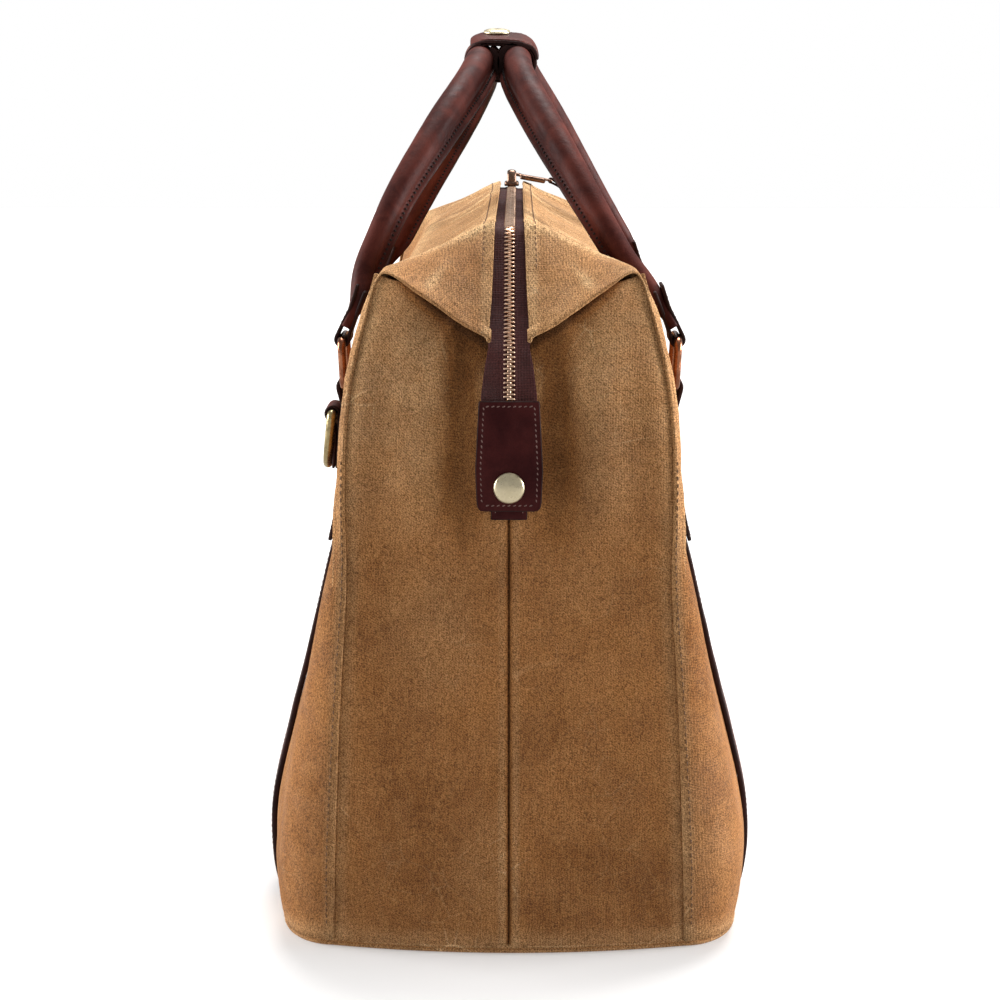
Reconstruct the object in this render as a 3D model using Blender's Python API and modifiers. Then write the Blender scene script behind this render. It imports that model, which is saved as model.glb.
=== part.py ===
"""Weekender travel bag: waxed canvas body, full-length top zip, leather straps, rolled handles and brass fittings.

Units are metres. +X is one end of the bag, -Y its front, +Z up; the origin is the middle of its base.
Every sub-part is its own object. The canvas body is a loft: at each height it is a rounded rectangle.
"""

import math

import bmesh
import bpy
from mathutils import Matrix, Vector

# Body: (height, half size) tables that the loft reads
HALF_WIDTH = ((0, 0.118), (0.006, 0.1215), (0.02, 0.1245), (0.04, 0.1255), (0.06, 0.1235), (0.09, 0.116),
              (0.135, 0.1035), (0.18, 0.0920), (0.21, 0.0845), (0.25, 0.0810), (0.285, 0.0785),
              (0.31, 0.0722), (0.335, 0.0648))
HALF_LENGTH = ((0, 0.254), (0.008, 0.2595), (0.025, 0.262), (0.08, 0.262), (0.15, 0.2600), (0.20, 0.2580),
               (0.235, 0.2562), (0.27, 0.2505), (0.30, 0.2405), (0.335, 0.2315))
SEAM_Y = ((0, 0.0885), (0.055, 0.0865), (0.13, 0.0832), (0.18, 0.0800), (0.23, 0.0775), (0.26, 0.0762),
          (0.30, 0.0695), (0.335, 0.0600))
# How far the shoulders between the handles draw in, and where along the bag they do
PINCH = ((0.27, 0), (0.285, 0.0004), (0.30, 0.0018), (0.312, 0.0056), (0.32, 0.0080), (0.33, 0.0108),
         (0.335, 0.0120))
PINCH_X = (0.175, 0.225)
LEVELS = (0.008, 0.02, 0.04, 0.065, 0.095, 0.135, 0.175, 0.21, 0.25, 0.28, 0.30, 0.315)
CANVAS = 0.0022
GAP = 0.0003
SEAM_GAP = 0.0008
BASE_T = 0.0024
CREASE_Z = 0.333
PANEL_TOP_Z = 0.330

# Top: two flaps between the ends, and an ear at each corner that folds down over the end panel
RIDGE_Z = 0.3612
ZIP_SLIT_Y = 0.0108
FLAP_X = 0.1682
EAR_X = 0.1689
EAR_TIP = (0.237, 0.0625, 0.3412)
FOLD = (0.2478, 0.0125, 0.3050)
BEND_X = 0.203

# Zip
TAPE_TOP_Z = 0.3548
TAPE_T = 0.0008
TAPE_HALF = 0.0145
ZIP_END_HALF = 0.0122
CHAIN_HALF = 0.0030
ZIP_T = 0.0024
ZIP_END_PATH = ((EAR_X, TAPE_TOP_Z), (0.2015, TAPE_TOP_Z), (0.2435, 0.3016), (0.2470, 0.2915))
ZIP_TAIL_PATH = ((0.2476, 0.2895), (0.2530, 0.2750))
SLIDER_X = -0.193
PULL_HINGE_Z = 0.3645
PULL_ANGLE = math.radians(-10)
PULL_LENGTH = 0.0267
PULL_TAB_ANGLE = math.radians(-32)

# End tabs
TAB_PATH = ((0.2570, 0.2765), (0.2622, 0.2370), (0.2628, 0.2215))
TAB_HALF = 0.0162
TAB_T = 0.0025
UNDER_TAB_PATH = ((0.2552, 0.2620), (0.2588, 0.2370), (0.2597, 0.2160))
UNDER_TAB_HALF = 0.009
UNDER_TAB_T = 0.0015
SNAP_Z = 0.2355
SNAP_RADIUS = 0.0075

# Straps, rings and handles
STRAP_X = 0.155
STRAP_HALF = 0.016
STRAP_T = 0.003
STRAP_FOOT_Z = 0.0045
STRAP_TOP_Z = 0.247
CHAPE_T = 0.002
CHAPE_FOOT_Z = 0.1905
RING_LOW = (0.0848, 0.2721)
RING_HIGH = (0.0860, 0.2959)
RING_HALF = 0.0189
RING_WIRE = 0.0021
D_BAR = (0.0915, 0.2575)
D_FOOT = (0.0970, 0.2300)
D_HALF = 0.016
D_WIRE = 0.0024
D_CHAPE_HALF = 0.012
D_CHAPE_T = 0.0014
D_CHAPE_FOOT_Z = 0.229
GRIP_RADIUS = 0.0093
GRIP_WALL = 0.0022
CORE_RADIUS = 0.0064
GRIP_END_Z = 0.3165
ARCH_BASE_Z = 0.296
ARCH_TOP_Z = 0.4375
ARCH_POWER = 1.8
HANDLE_TAB_HALF = 0.013
HANDLE_TAB_T = 0.0018
KEEPER_HALF = 0.018
KEEPER_T = 0.0018

COLOURS = {
    "canvas": ((0.34, 0.19, 0.085), 0.75, 0),
    "leather": ((0.075, 0.02, 0.016), 0.4, 0),
    "lining": ((0.30, 0.24, 0.17), 0.85, 0),
    "board": ((0.06, 0.05, 0.05), 0.6, 0),
    "zip_tape": ((0.05, 0.022, 0.022), 0.8, 0),
    "copper": ((0.50, 0.25, 0.15), 0.3, 1),
    "antique_brass": ((0.55, 0.45, 0.28), 0.3, 1),
    "rope": ((0.55, 0.48, 0.36), 0.9, 0),
}


def clear_scene():
    for obj in list(bpy.data.objects):
        bpy.data.objects.remove(obj, do_unlink=True)


def collection(name, hidden=False):
    group = bpy.data.collections.new(name)
    group.hide_render = hidden
    bpy.context.scene.collection.children.link(group)
    return group


def material(name):
    if name in bpy.data.materials:
        return bpy.data.materials[name]
    colour, roughness, metallic = COLOURS[name]
    made = bpy.data.materials.new(name)
    made.use_nodes = True
    shader = made.node_tree.nodes["Principled BSDF"]
    shader.inputs["Base Color"].default_value = (*colour, 1)
    shader.inputs["Roughness"].default_value = roughness
    shader.inputs["Metallic"].default_value = metallic
    return made


def place(name, data, slot):
    obj = bpy.data.objects.new(name, data)
    data.materials.append(material(slot))
    PARTS.objects.link(obj)
    return obj


def smooth_table(table, z):
    """The value at height z of a smooth curve through the table's points."""
    count = len(table)
    k = max(i for i in range(count - 1) if i == 0 or table[i][0] <= z)
    slopes = []
    for i in (k, k + 1):
        before, after = table[max(i - 1, 0)], table[min(i + 1, count - 1)]
        slopes.append((after[1] - before[1]) / (after[0] - before[0]))
    (z0, v0), (z1, v1) = table[k], table[k + 1]
    step = z1 - z0
    t = min(max((z - z0) / step, 0), 1)
    return ((2 * t**3 - 3 * t**2 + 1) * v0 + (t**3 - 2 * t**2 + t) * step * slopes[0]
            + (3 * t**2 - 2 * t**3) * v1 + (t**3 - t**2) * step * slopes[1])


def half_width(z):
    return smooth_table(HALF_WIDTH, z)


def half_length(z):
    return smooth_table(HALF_LENGTH, z)


def seam_y(z):
    return smooth_table(SEAM_Y, z)


def side_y(x, z):
    """Half width of the body at a distance x from the middle."""
    t = min(max((PINCH_X[1] - abs(x)) / (PINCH_X[1] - PINCH_X[0]), 0), 1)
    return half_width(z) - smooth_table(PINCH, z) * t * t * (3 - 2 * t)


def corner(z, steps, inset=0.0):
    """One corner of the body's outline at height z, from the end seam round to the side."""
    seam, radius = seam_y(z), half_width(z) - seam_y(z)
    middle = half_length(z) - radius
    points = []
    for k in range(steps + 1):
        turn = math.pi / 2 * k / steps
        points.append((middle + (radius - inset) * math.cos(turn), seam + (radius - inset) * math.sin(turn)))
    return points


def side_points(z, inset=0.0, steps=4):
    """The outline at height z from one end seam, round the side, to the other end's seam."""
    turn = corner(z, steps, inset)
    run = [(x, side_y(x, z) - inset) for x in (0.205, PINCH_X[0], 0.08)]
    half = turn + run
    return half + [(0, side_y(0, z) - inset)] + [(-x, y) for x, y in reversed(half)]


def outline(z, inset=0.0, steps=4):
    """The closed outline at height z, anticlockwise seen from above."""
    back = side_points(z, inset, steps)
    return back + [(-x, -y) for x, y in back]


def sheet(name, rows, thickness, away, slot, closed=False, floor=False):
    """A sheet of even thickness whose outer face runs through the grid of points; away points out of it."""
    mesh = bmesh.new()
    grid = [[mesh.verts.new(point) for point in row] for row in rows]
    for low, high in zip(grid, grid[1:]):
        for k in range(len(low) if closed else len(low) - 1):
            n = (k + 1) % len(low)
            mesh.faces.new((low[k], low[n], high[n], high[k]))
    if floor:
        mesh.faces.new(list(reversed(grid[0])))
    mesh.normal_update()
    if sum(face.normal.dot(Vector(away(face.calc_center_median()))) * face.calc_area() for face in mesh.faces) < 0:
        bmesh.ops.reverse_faces(mesh, faces=mesh.faces)
    data = bpy.data.meshes.new(name)
    mesh.to_mesh(data)
    mesh.free()
    data.shade_smooth()
    obj = place(name, data, slot)
    shell = obj.modifiers.new("Thickness", "SOLIDIFY")
    shell.thickness = thickness
    shell.offset = -1
    shell.use_even_offset = True
    return obj


def side_strip(name, path, x_middle, half, thickness, side, slot, loop_middle=None):
    """A strip that lies on the front or back: path gives (distance from the middle plane, height)."""
    halves = half if isinstance(half, (list, tuple)) else [half] * len(path)
    rows = [[(x_middle + s * h, side * y, z) for s in (-1, 1)] for (y, z), h in zip(path, halves)]

    def away(point):
        if loop_middle is None:
            return (0, side, 0.001)
        return (0, point.y - side * loop_middle[0], point.z - loop_middle[1])

    return sheet(name, rows, thickness, away, slot)


def end_strip(name, path, half, thickness, end, slot):
    """A strip that runs over an end: path gives (distance from the middle, height)."""
    rows = [[(end * x, -half, z), (end * x, half, z)] for x, z in path]
    return sheet(name, rows, thickness, lambda point: (end, 0, 0.9), slot)


def lifted(path, by):
    """A path moved outwards, square to itself."""
    moved = []
    for k, (x, z) in enumerate(path):
        a, b = path[max(k - 1, 0)], path[min(k + 1, len(path) - 1)]
        run, rise = b[0] - a[0], b[1] - a[1]
        size = math.hypot(run, rise)
        moved.append((x - rise / size * by, z + run / size * by))
    return moved


def arc(middle, radius, start, stop, steps):
    """Points on an arc, angles in degrees from the outward direction towards up."""
    turns = [math.radians(start + (stop - start) * k / steps) for k in range(steps + 1)]
    return [(middle[0] + radius * math.cos(t), middle[1] + radius * math.sin(t)) for t in turns]


def wire(name, points, radius, slot, cyclic=True, sides=2):
    """A round wire or tube along straight runs between the points."""
    data = bpy.data.curves.new(name, "CURVE")
    data.dimensions = "3D"
    data.bevel_depth = radius
    data.bevel_resolution = sides
    data.use_fill_caps = not cyclic
    spline = data.splines.new("POLY")
    spline.points.add(len(points) - 1)
    for control, point in zip(spline.points, points):
        control.co = (*point, 1)
    spline.use_cyclic_u = cyclic
    return place(name, data, slot)


def plate(name, points, thickness, z, slot):
    """A flat plate with the given outline, its underside at z."""
    data = bpy.data.curves.new(name, "CURVE")
    data.dimensions = "2D"
    data.fill_mode = "BOTH"
    data.extrude = thickness / 2
    spline = data.splines.new("POLY")
    spline.points.add(len(points) - 1)
    for control, (x, y) in zip(spline.points, points):
        control.co = (x, y, 0, 1)
    spline.use_cyclic_u = True
    obj = place(name, data, slot)
    obj.location.z = z + thickness / 2
    return obj


def box(name, low, high, slot=None):
    """A box from its lowest to its highest corner; without a slot it is a cutter."""
    mesh = bmesh.new()
    bmesh.ops.create_cube(mesh, size=1)
    low, high = Vector(low), Vector(high)
    bmesh.ops.scale(mesh, vec=high - low, verts=mesh.verts)
    bmesh.ops.translate(mesh, vec=(low + high) / 2, verts=mesh.verts)
    data = bpy.data.meshes.new(name)
    mesh.to_mesh(data)
    mesh.free()
    if slot:
        return place(name, data, slot)
    obj = bpy.data.objects.new(name, data)
    obj.display_type = "WIRE"
    obj.hide_render = True
    CUTTERS.objects.link(obj)
    return obj


def combine(obj, other, operation):
    step = obj.modifiers.new(operation.title(), "BOOLEAN")
    step.operation = operation
    step.object = other


def disc(name, middle, axis, radius, thickness, slot, rim=0.0006):
    """A short round piece with a softened rim, centred on middle."""
    mesh = bmesh.new()
    bmesh.ops.create_cone(mesh, cap_ends=True, segments=20, radius1=radius, radius2=radius - rim, depth=thickness)
    data = bpy.data.meshes.new(name)
    mesh.to_mesh(data)
    mesh.free()
    data.shade_smooth()
    data.set_sharp_from_angle(angle=math.radians(40))
    obj = place(name, data, slot)
    obj.matrix_world = Matrix.Translation(middle) @ Vector(axis).to_track_quat("Z", "Y").to_matrix().to_4x4()
    return obj


def panels():
    """Front and back: each wraps round two corners to the end seams."""
    for name, side in (("front_panel", -1), ("back_panel", 1)):
        rows = []
        for z in (BASE_T + GAP, *LEVELS, PANEL_TOP_Z):
            points = side_points(z)
            seam = points[0][1] + SEAM_GAP / 2
            points[0], points[-1] = (points[0][0], seam), (points[-1][0], seam)
            rows.append([(x, side * y, z) for x, y in points])
        sheet(name, rows, CANVAS, lambda point: (point.x**5 * 300, point.y, 0), "canvas")


def fold_z(y):
    """Height of the ear's lower fold at a distance y from the middle."""
    t = min(max((y - FOLD[1]) / (EAR_TIP[1] - FOLD[1]), 0), 1)
    return FOLD[2] + (EAR_TIP[2] - FOLD[2]) * t


def gussets():
    """Each end is two halves, sewn together up the middle."""
    for end_name, end in (("right", 1), ("left", -1)):
        for side_name, side in (("front", -1), ("back", 1)):
            rows = []
            for t in (0, 0.02, 0.07, 0.2, 0.4, 0.6, 0.72, 0.82, 0.92, 1):
                row = []
                for c in (0, 0.25, 0.5, 0.75, 1):
                    top = fold_z(c * EAR_TIP[1]) - 0.0065
                    z = BASE_T + GAP + (top - BASE_T - GAP) * t
                    y = SEAM_GAP / 2 + c * (seam_y(z) - SEAM_GAP)
                    row.append((end * half_length(z), side * y, z))
                rows.append(row)
            sheet(f"{end_name}_gusset_{side_name}", rows, CANVAS, lambda point: (point.x, 0, 0), "canvas")


def base():
    plate("bottom_panel", outline(0), BASE_T, 0, "canvas")
    plate("base_board", outline(0.004, 0.0070), 0.003, BASE_T + GAP, "board")


def lining():
    rows = []
    for z in (0.0070, *(z for z in LEVELS if 0.01 < z < 0.305)):
        points = outline(z, 0.0038)
        rows.append([(x, y, z) for x, y in points])
    sheet("lining", rows, 0.0008, lambda point: (point.x, point.y, -0.01), "lining", closed=True, floor=True)


def top():
    """Flaps that open along the side creases, and the ears beyond them."""
    for name, side in (("front", -1), ("back", 1)):
        crease = side_y(0, CREASE_Z)
        rows = [[(x, side * crease, CREASE_Z), (x, side * ZIP_SLIT_Y, RIDGE_Z)] for x in (-FLAP_X, FLAP_X)]
        sheet(f"{name}_top_flap", rows, CANVAS, lambda point: (0, 0, 1), "canvas")
        for end_name, end in (("right", 1), ("left", -1)):
            outer = ((EAR_X, crease, CREASE_Z), (0.205, side_y(0.205, CREASE_Z), 0.3365), EAR_TIP)
            inner = ((EAR_X, ZIP_SLIT_Y, RIDGE_Z), (BEND_X, ZIP_SLIT_Y, RIDGE_Z - 0.0002), FOLD)
            rows = []
            for a, b in zip(outer, inner):
                line = [Vector(a).lerp(Vector(b), t) for t in (0, 0.33, 0.67, 1)]
                rows.append([(end * p.x, side * p.y, p.z) for p in line])
            sheet(f"{name}_ear_{end_name}", rows, CANVAS, lambda point: (0, 0, 1), "canvas")


def zip_closure():
    for name, side in (("front", -1), ("back", 1)):
        tape = [[(x, side * y, TAPE_TOP_Z) for y in (TAPE_HALF, CHAIN_HALF + GAP)] for x in (-FLAP_X, FLAP_X)]
        sheet(f"{name}_zip_tape", tape, TAPE_T, lambda point: (0, 0, 1), "zip_tape")
        low, high = sorted((side * 0.0002, side * CHAIN_HALF))
        box(f"{name}_zip_teeth", (-FLAP_X, low, TAPE_TOP_Z - 0.0006), (FLAP_X, high, TAPE_TOP_Z + 0.0024), "copper")
    for end_name, end in (("right", 1), ("left", -1)):
        end_strip(f"{end_name}_zip_end", lifted(ZIP_END_PATH, ZIP_T - TAPE_T), ZIP_END_HALF, ZIP_T, end, "zip_tape")
        end_strip(f"{end_name}_zip_tail", lifted(ZIP_TAIL_PATH, ZIP_T - TAPE_T), ZIP_END_HALF, ZIP_T, end, "zip_tape")


def slider():
    """The slider sits over the teeth; the pull's bar turns under its bridge, and the leather hangs from the pull."""
    body = box("zip_slider", (SLIDER_X - 0.006, -0.0047, TAPE_TOP_Z + 0.0028),
               (SLIDER_X + 0.006, 0.0047, TAPE_TOP_Z + 0.0056), "antique_brass")
    combine(body, box("bridge", (SLIDER_X - 0.0012, -0.0038, TAPE_TOP_Z + 0.0050),
                      (SLIDER_X + 0.0012, 0.0038, PULL_HINGE_Z + 0.0027)), "UNION")
    combine(body, box("bridge_slot", (SLIDER_X - 0.003, -0.0024, TAPE_TOP_Z + 0.0060),
                      (SLIDER_X + 0.003, 0.0024, PULL_HINGE_Z + 0.0012)), "DIFFERENCE")
    hinge = Matrix.Translation((SLIDER_X, 0, PULL_HINGE_Z)) @ Matrix.Rotation(PULL_ANGLE, 4, "X")
    pull = box("slider_pull", (-0.004, -0.0007, -0.0007), (0.004, PULL_LENGTH, 0.0007), "antique_brass")
    pull.matrix_world = hinge
    for name, low, high in (("pull_eye", 0.0009, 0.0062), ("pull_slot", PULL_LENGTH - 0.0045, PULL_LENGTH - 0.0015)):
        cutter = box(name, (-0.0026, low, -0.002), (0.0026, high, 0.002))
        cutter.matrix_world = hinge
        combine(pull, cutter, "DIFFERENCE")
    lower = [(0.0205, -0.0012), (0.0120, -0.0012), (0.0050, -0.0012)]
    path = lower + arc((0, 0), 0.0023, -50, -310, 8) + [(y, -z) for y, z in reversed(lower)]
    halves = [0.0043 if y > 0.010 else 0.0023 for y, _ in path]
    leather = side_strip("leather_pull", path, 0, halves, 0.0010, 1, "leather", (0.012, 0))
    leather.matrix_world = (hinge @ Matrix.Translation((0, PULL_LENGTH - 0.00075, 0))
                            @ Matrix.Rotation(PULL_TAB_ANGLE - PULL_ANGLE, 4, "X"))


def end_tabs():
    for end_name, end in (("right", 1), ("left", -1)):
        end_strip(f"{end_name}_end_tab", TAB_PATH, TAB_HALF, TAB_T, end, "leather")
        end_strip(f"{end_name}_under_tab", UNDER_TAB_PATH, UNDER_TAB_HALF, UNDER_TAB_T, end, "leather")
        disc(f"{end_name}_snap_cap", (end * 0.2642, 0, SNAP_Z), (end, 0, 0), SNAP_RADIUS, 0.0022, "antique_brass")


def on_side(z, lift):
    """A point lifted off the side of the body, square enough to it for a strap."""
    return (half_width(z) + lift, z)


def straps():
    outer = GAP + STRAP_T
    heights = [STRAP_FOOT_Z] + [z for z in LEVELS if z < STRAP_TOP_Z] + [STRAP_TOP_Z]
    chape_lift = outer + 2 * GAP + CHAPE_T
    loop = RING_WIRE + 0.0005 + CHAPE_T
    for side_name, side in (("front", -1), ("back", 1)):
        for end_name, end in (("right", 1), ("left", -1)):
            x = end * STRAP_X
            side_strip(f"{side_name}_strap_{end_name}", [on_side(z, outer) for z in heights],
                       x, STRAP_HALF, STRAP_T, side, "leather")
            path = [on_side(z, chape_lift) for z in (CHAPE_FOOT_Z, 0.21, 0.25, 0.260)]
            path += arc(RING_LOW, loop, -20, 190, 8) + [on_side(0.2515, GAP)]
            side_strip(f"{side_name}_chape_{end_name}", path, x, 0.0152, CHAPE_T, side, "leather", RING_LOW)


def rings():
    """Rectangular rings: the lower bar turns in the chape, the upper one in the handle's end."""
    radius = 0.004
    for side_name, side in (("front", -1), ("back", 1)):
        for end_name, end in (("right", 1), ("left", -1)):
            points = []
            for k, (sx, sz) in enumerate(((1, 1), (-1, 1), (-1, -1), (1, -1))):
                for step in range(4):
                    turn = math.radians(90 * k + 30 * step)
                    x = sx * (RING_HALF - radius) + radius * math.cos(turn)
                    height = (RING_HIGH[1] - RING_LOW[1]) / 2
                    z = sz * (height - radius) + radius * math.sin(turn)
                    t = (z + height) / (2 * height)
                    y = RING_LOW[0] + (RING_HIGH[0] - RING_LOW[0]) * t
                    points.append((end * STRAP_X + x, side * y, RING_LOW[1] + height + z))
            wire(f"{side_name}_ring_{end_name}", points, RING_WIRE, "copper")


def d_rings():
    for side_name, side, x in (("front", -1, STRAP_X), ("back", 1, -STRAP_X)):
        points = [(x + s * D_HALF, side * D_BAR[0], D_BAR[1]) for s in (-1, -0.5, 0, 0.5, 1)]
        for k in range(1, 12):
            turn = math.pi * k / 12
            t = math.sin(turn)
            points.append((x + D_HALF * math.cos(turn), side * (D_BAR[0] + (D_FOOT[0] - D_BAR[0]) * t),
                           D_BAR[1] + (D_FOOT[1] - D_BAR[1]) * t))
        wire(f"{side_name}_d_ring", points, D_WIRE, "antique_brass")
        chape_outer = GAP + STRAP_T + 2 * GAP + CHAPE_T
        inner = [on_side(z, chape_outer + 2 * GAP) for z in (D_CHAPE_FOOT_Z, 0.2480)]
        outer = [on_side(z, chape_outer + 3 * GAP + 2 * D_CHAPE_T) for z in (0.2480, D_CHAPE_FOOT_Z)]
        loop = D_WIRE + 0.0005 + D_CHAPE_T
        path = inner + arc(D_BAR, loop, 190, -20, 8) + outer
        side_strip(f"{side_name}_d_chape", path, x, D_CHAPE_HALF, D_CHAPE_T, side, "leather", (D_BAR[0] - 0.0005, 0.25))


def arch_drop(x):
    """How far the handles' top falls below its highest point at a distance x from the middle."""
    rise = (1 - (abs(x) / STRAP_X) ** ARCH_POWER) ** (1 / ARCH_POWER)
    return (ARCH_TOP_Z - ARCH_BASE_Z) * (1 - rise)


def handle_y(z, side):
    """The legs lean in towards the middle; the two handles meet side by side at the top."""
    drop = 0.4330 - z
    lean = 0.0101 + 0.565 * (drop + math.hypot(drop, 0.008)) / 2
    return side * lean - 0.004 * min(max((z - 0.30) / 0.13, 0), 1)


def arch_points(side, count):
    height = ARCH_TOP_Z - ARCH_BASE_Z
    start = math.asin(((GRIP_END_Z - ARCH_BASE_Z) / height) ** (ARCH_POWER / 2))
    points = []
    for k in range(count + 1):
        turn = start + (math.pi - 2 * start) * k / count
        x = math.copysign(STRAP_X * abs(math.cos(turn)) ** (2 / ARCH_POWER), math.cos(turn))
        z = ARCH_BASE_Z + height * math.sin(turn) ** (2 / ARCH_POWER)
        points.append((x, handle_y(z, side), z))
    return points


def handles():
    """A leather tube round a rope core, with a flat tab at each end folded round its ring."""
    loop = RING_WIRE + 0.0005 + HANDLE_TAB_T
    for side_name, side in (("front", -1), ("back", 1)):
        points = arch_points(side, 26)
        grip = wire(f"{side_name}_handle_grip", points, GRIP_RADIUS, "leather", cyclic=False)
        grip.data.use_fill_caps = False
        shell = grip.modifiers.new("Wall", "SOLIDIFY")
        shell.thickness = GRIP_WALL
        shell.offset = -1
        wire(f"{side_name}_handle_core", points, CORE_RADIUS, "rope", cyclic=False, sides=1)
        path = [(0.0838, 0.3120)] + arc(RING_HIGH, loop, 25, -205, 9) + [(0.0768, 0.3085)]
        for end_name, end in (("right", 1), ("left", -1)):
            side_strip(f"{side_name}_handle_tab_{end_name}", path, end * (STRAP_X - 0.001), HANDLE_TAB_HALF,
                       HANDLE_TAB_T, side, "leather", (RING_HIGH[0] - 0.0035, RING_HIGH[1] + 0.006))


def keeper():
    """The band runs round both handles; its top end is a flap that snaps down over the other end."""
    front, back = handle_y(ARCH_TOP_Z, -1), handle_y(ARCH_TOP_Z, 1)
    radius = GRIP_RADIUS + 0.0006 + KEEPER_T
    band = arc((back, ARCH_TOP_Z), radius, 15, -90, 6) + arc((front, ARCH_TOP_Z), radius, -90, -262, 9)
    flap = [(0.0186, 0.4434), (0.0156, 0.4482), (0.0080, 0.4518), (-0.0050, 0.4526), (-0.0150, 0.4524),
            (-0.0212, 0.4504)]
    middle = ((front + back) / 2, ARCH_TOP_Z)
    for name, path, thickness in (("keeper_band", band, KEEPER_T), ("keeper_flap", flap, 0.0022)):
        rows = [[(x, y, z - arch_drop(x)) for x in (-KEEPER_HALF, -KEEPER_HALF / 2, 0, KEEPER_HALF / 2, KEEPER_HALF)]
                for y, z in path]
        sheet(name, rows, thickness, lambda point: (0, point.y - middle[0], point.z - middle[1]), "leather")
    disc("keeper_snap_cap", (0, -0.008, 0.4542), (0, 0, 1), SNAP_RADIUS, 0.0022, "antique_brass")


clear_scene()
PARTS = collection("weekender_bag")
CUTTERS = collection("cutters", hidden=True)
panels()
gussets()
base()
lining()
top()
zip_closure()
slider()
end_tabs()
straps()
rings()
d_rings()
handles()
keeper()
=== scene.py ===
import math

import bpy
import numpy as np
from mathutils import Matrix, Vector, noise


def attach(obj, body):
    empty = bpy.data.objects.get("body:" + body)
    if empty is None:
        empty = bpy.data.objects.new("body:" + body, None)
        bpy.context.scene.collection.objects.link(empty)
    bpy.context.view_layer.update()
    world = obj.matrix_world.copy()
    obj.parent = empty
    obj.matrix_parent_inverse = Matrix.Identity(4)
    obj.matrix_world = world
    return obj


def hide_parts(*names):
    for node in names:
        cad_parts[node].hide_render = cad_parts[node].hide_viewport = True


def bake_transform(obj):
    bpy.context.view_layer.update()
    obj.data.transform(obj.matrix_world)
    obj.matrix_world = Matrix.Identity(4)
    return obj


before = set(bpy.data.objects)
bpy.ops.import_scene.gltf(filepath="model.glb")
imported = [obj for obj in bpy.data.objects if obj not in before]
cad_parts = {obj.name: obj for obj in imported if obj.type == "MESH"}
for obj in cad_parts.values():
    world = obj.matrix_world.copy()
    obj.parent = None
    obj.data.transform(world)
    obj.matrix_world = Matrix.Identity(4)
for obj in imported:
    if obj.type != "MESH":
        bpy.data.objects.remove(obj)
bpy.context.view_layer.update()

# The bag's own measures, in metres, as in its CAD parts.
# HALF_WIDTH, HALF_LENGTH, SEAM_Y and PINCH are tables of (height, measure); the paths are (x, z).
HALF_WIDTH = ((0, 0.118), (0.006, 0.1215), (0.02, 0.1245), (0.04, 0.1255), (0.06, 0.1235), (0.09, 0.116),
              (0.135, 0.1035), (0.18, 0.0920), (0.21, 0.0845), (0.25, 0.0810), (0.285, 0.0785),
              (0.31, 0.0722), (0.335, 0.0648))
HALF_LENGTH = ((0, 0.2600), (0.008, 0.2612), (0.025, 0.262), (0.08, 0.262), (0.15, 0.2600), (0.20, 0.2580),
               (0.235, 0.2562), (0.27, 0.2505), (0.30, 0.2405), (0.335, 0.2315))
SEAM_Y = ((0, 0.0885), (0.055, 0.0865), (0.13, 0.0832), (0.18, 0.0800), (0.23, 0.0775), (0.26, 0.0762),
          (0.30, 0.0695), (0.335, 0.0600))
PINCH = ((0.27, 0), (0.285, 0.0004), (0.30, 0.0018), (0.312, 0.0056), (0.32, 0.0080), (0.33, 0.0108),
         (0.335, 0.0120))
PINCH_X = (0.175, 0.225)
CREASE_Z = 0.333
RIDGE_Z = 0.3586
TOP_SLOPE = 0.654
SLIT_Y = 0.0080
EAR_X = 0.1689
EAR_TIP = (0.237, 0.0625, 0.3412)
FOLD = (0.2478, 0.0100, 0.3050)
BEND_X = 0.203
SHOULDER_X, SHOULDER_Z = 0.205, 0.3365
CANVAS, BOTTOM_THICK, TAPE_THICK, LINING_THICK = 0.0011, 0.0009, 0.0006, 0.0007
CLOTH_FOOT_Z = 0.0036
TAPE_TOP_Z = 0.3548
ZIP_END_PATH = ((0.1950, TAPE_TOP_Z), (0.2015, TAPE_TOP_Z), (0.2435, 0.3016), (0.2470, 0.2915),
                (0.2476, 0.2895), (0.2530, 0.2750))
ZIP_END_WIDTH = ((0, 0.060, 0.0745, 0.0835, 0.098, 0.12), (0.0125, 0.0115, 0.0098, 0.0116, 0.0134, 0.0136))
TEETH_PITCH = 0.0023
SLIDER_X = -0.193
PULL_HINGE_Z = 0.3645
PULL_ANGLE = math.radians(-10)
PULL_LENGTH = 0.0267
PULL_TAB_ANGLE = math.radians(-32)
TAB_PATH = ((0.2570, 0.2765), (0.2622, 0.2370), (0.2627, 0.2238))
UNDER_TAB_PATH = ((0.2552, 0.2620), (0.2588, 0.2370), (0.2597, 0.2192))
SNAP_RADIUS = 0.0075
STRAP_X = 0.155
STRAP_T = 0.003
CHAPE_T = 0.002
GAP = 0.0003
RING_LOW = (0.0848, 0.2721)
RING_HIGH = (0.0860, 0.2959)
RING_HALF = 0.0189
RING_WIRE = 0.0021
D_BAR = (0.0915, 0.2575)
D_FOOT = (0.0948, 0.2300)
D_HALF = 0.016
D_WIRE = 0.0024
WIRE_CLEARANCE = 0.0005
ARCH_BASE_Z = 0.296
ARCH_TOP_Z = 0.4375
ARCH_POWER = 1.8
GRIP_RADIUS = 0.0078
GRIP_END_Z = 0.3012
KEEPER_HALF = 0.018
KEEPER_TILT = math.radians(8)
SIDES = (("front", -1), ("back", 1))
ENDS = (("right", 1), ("left", -1))
CORNERS = [(side_name, side, end_name, end) for side_name, side in SIDES for end_name, end in ENDS]

# Rows of the sides' cloth: up to the top crease, and from there to the zip
UP, OVER = 84, 36
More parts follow.
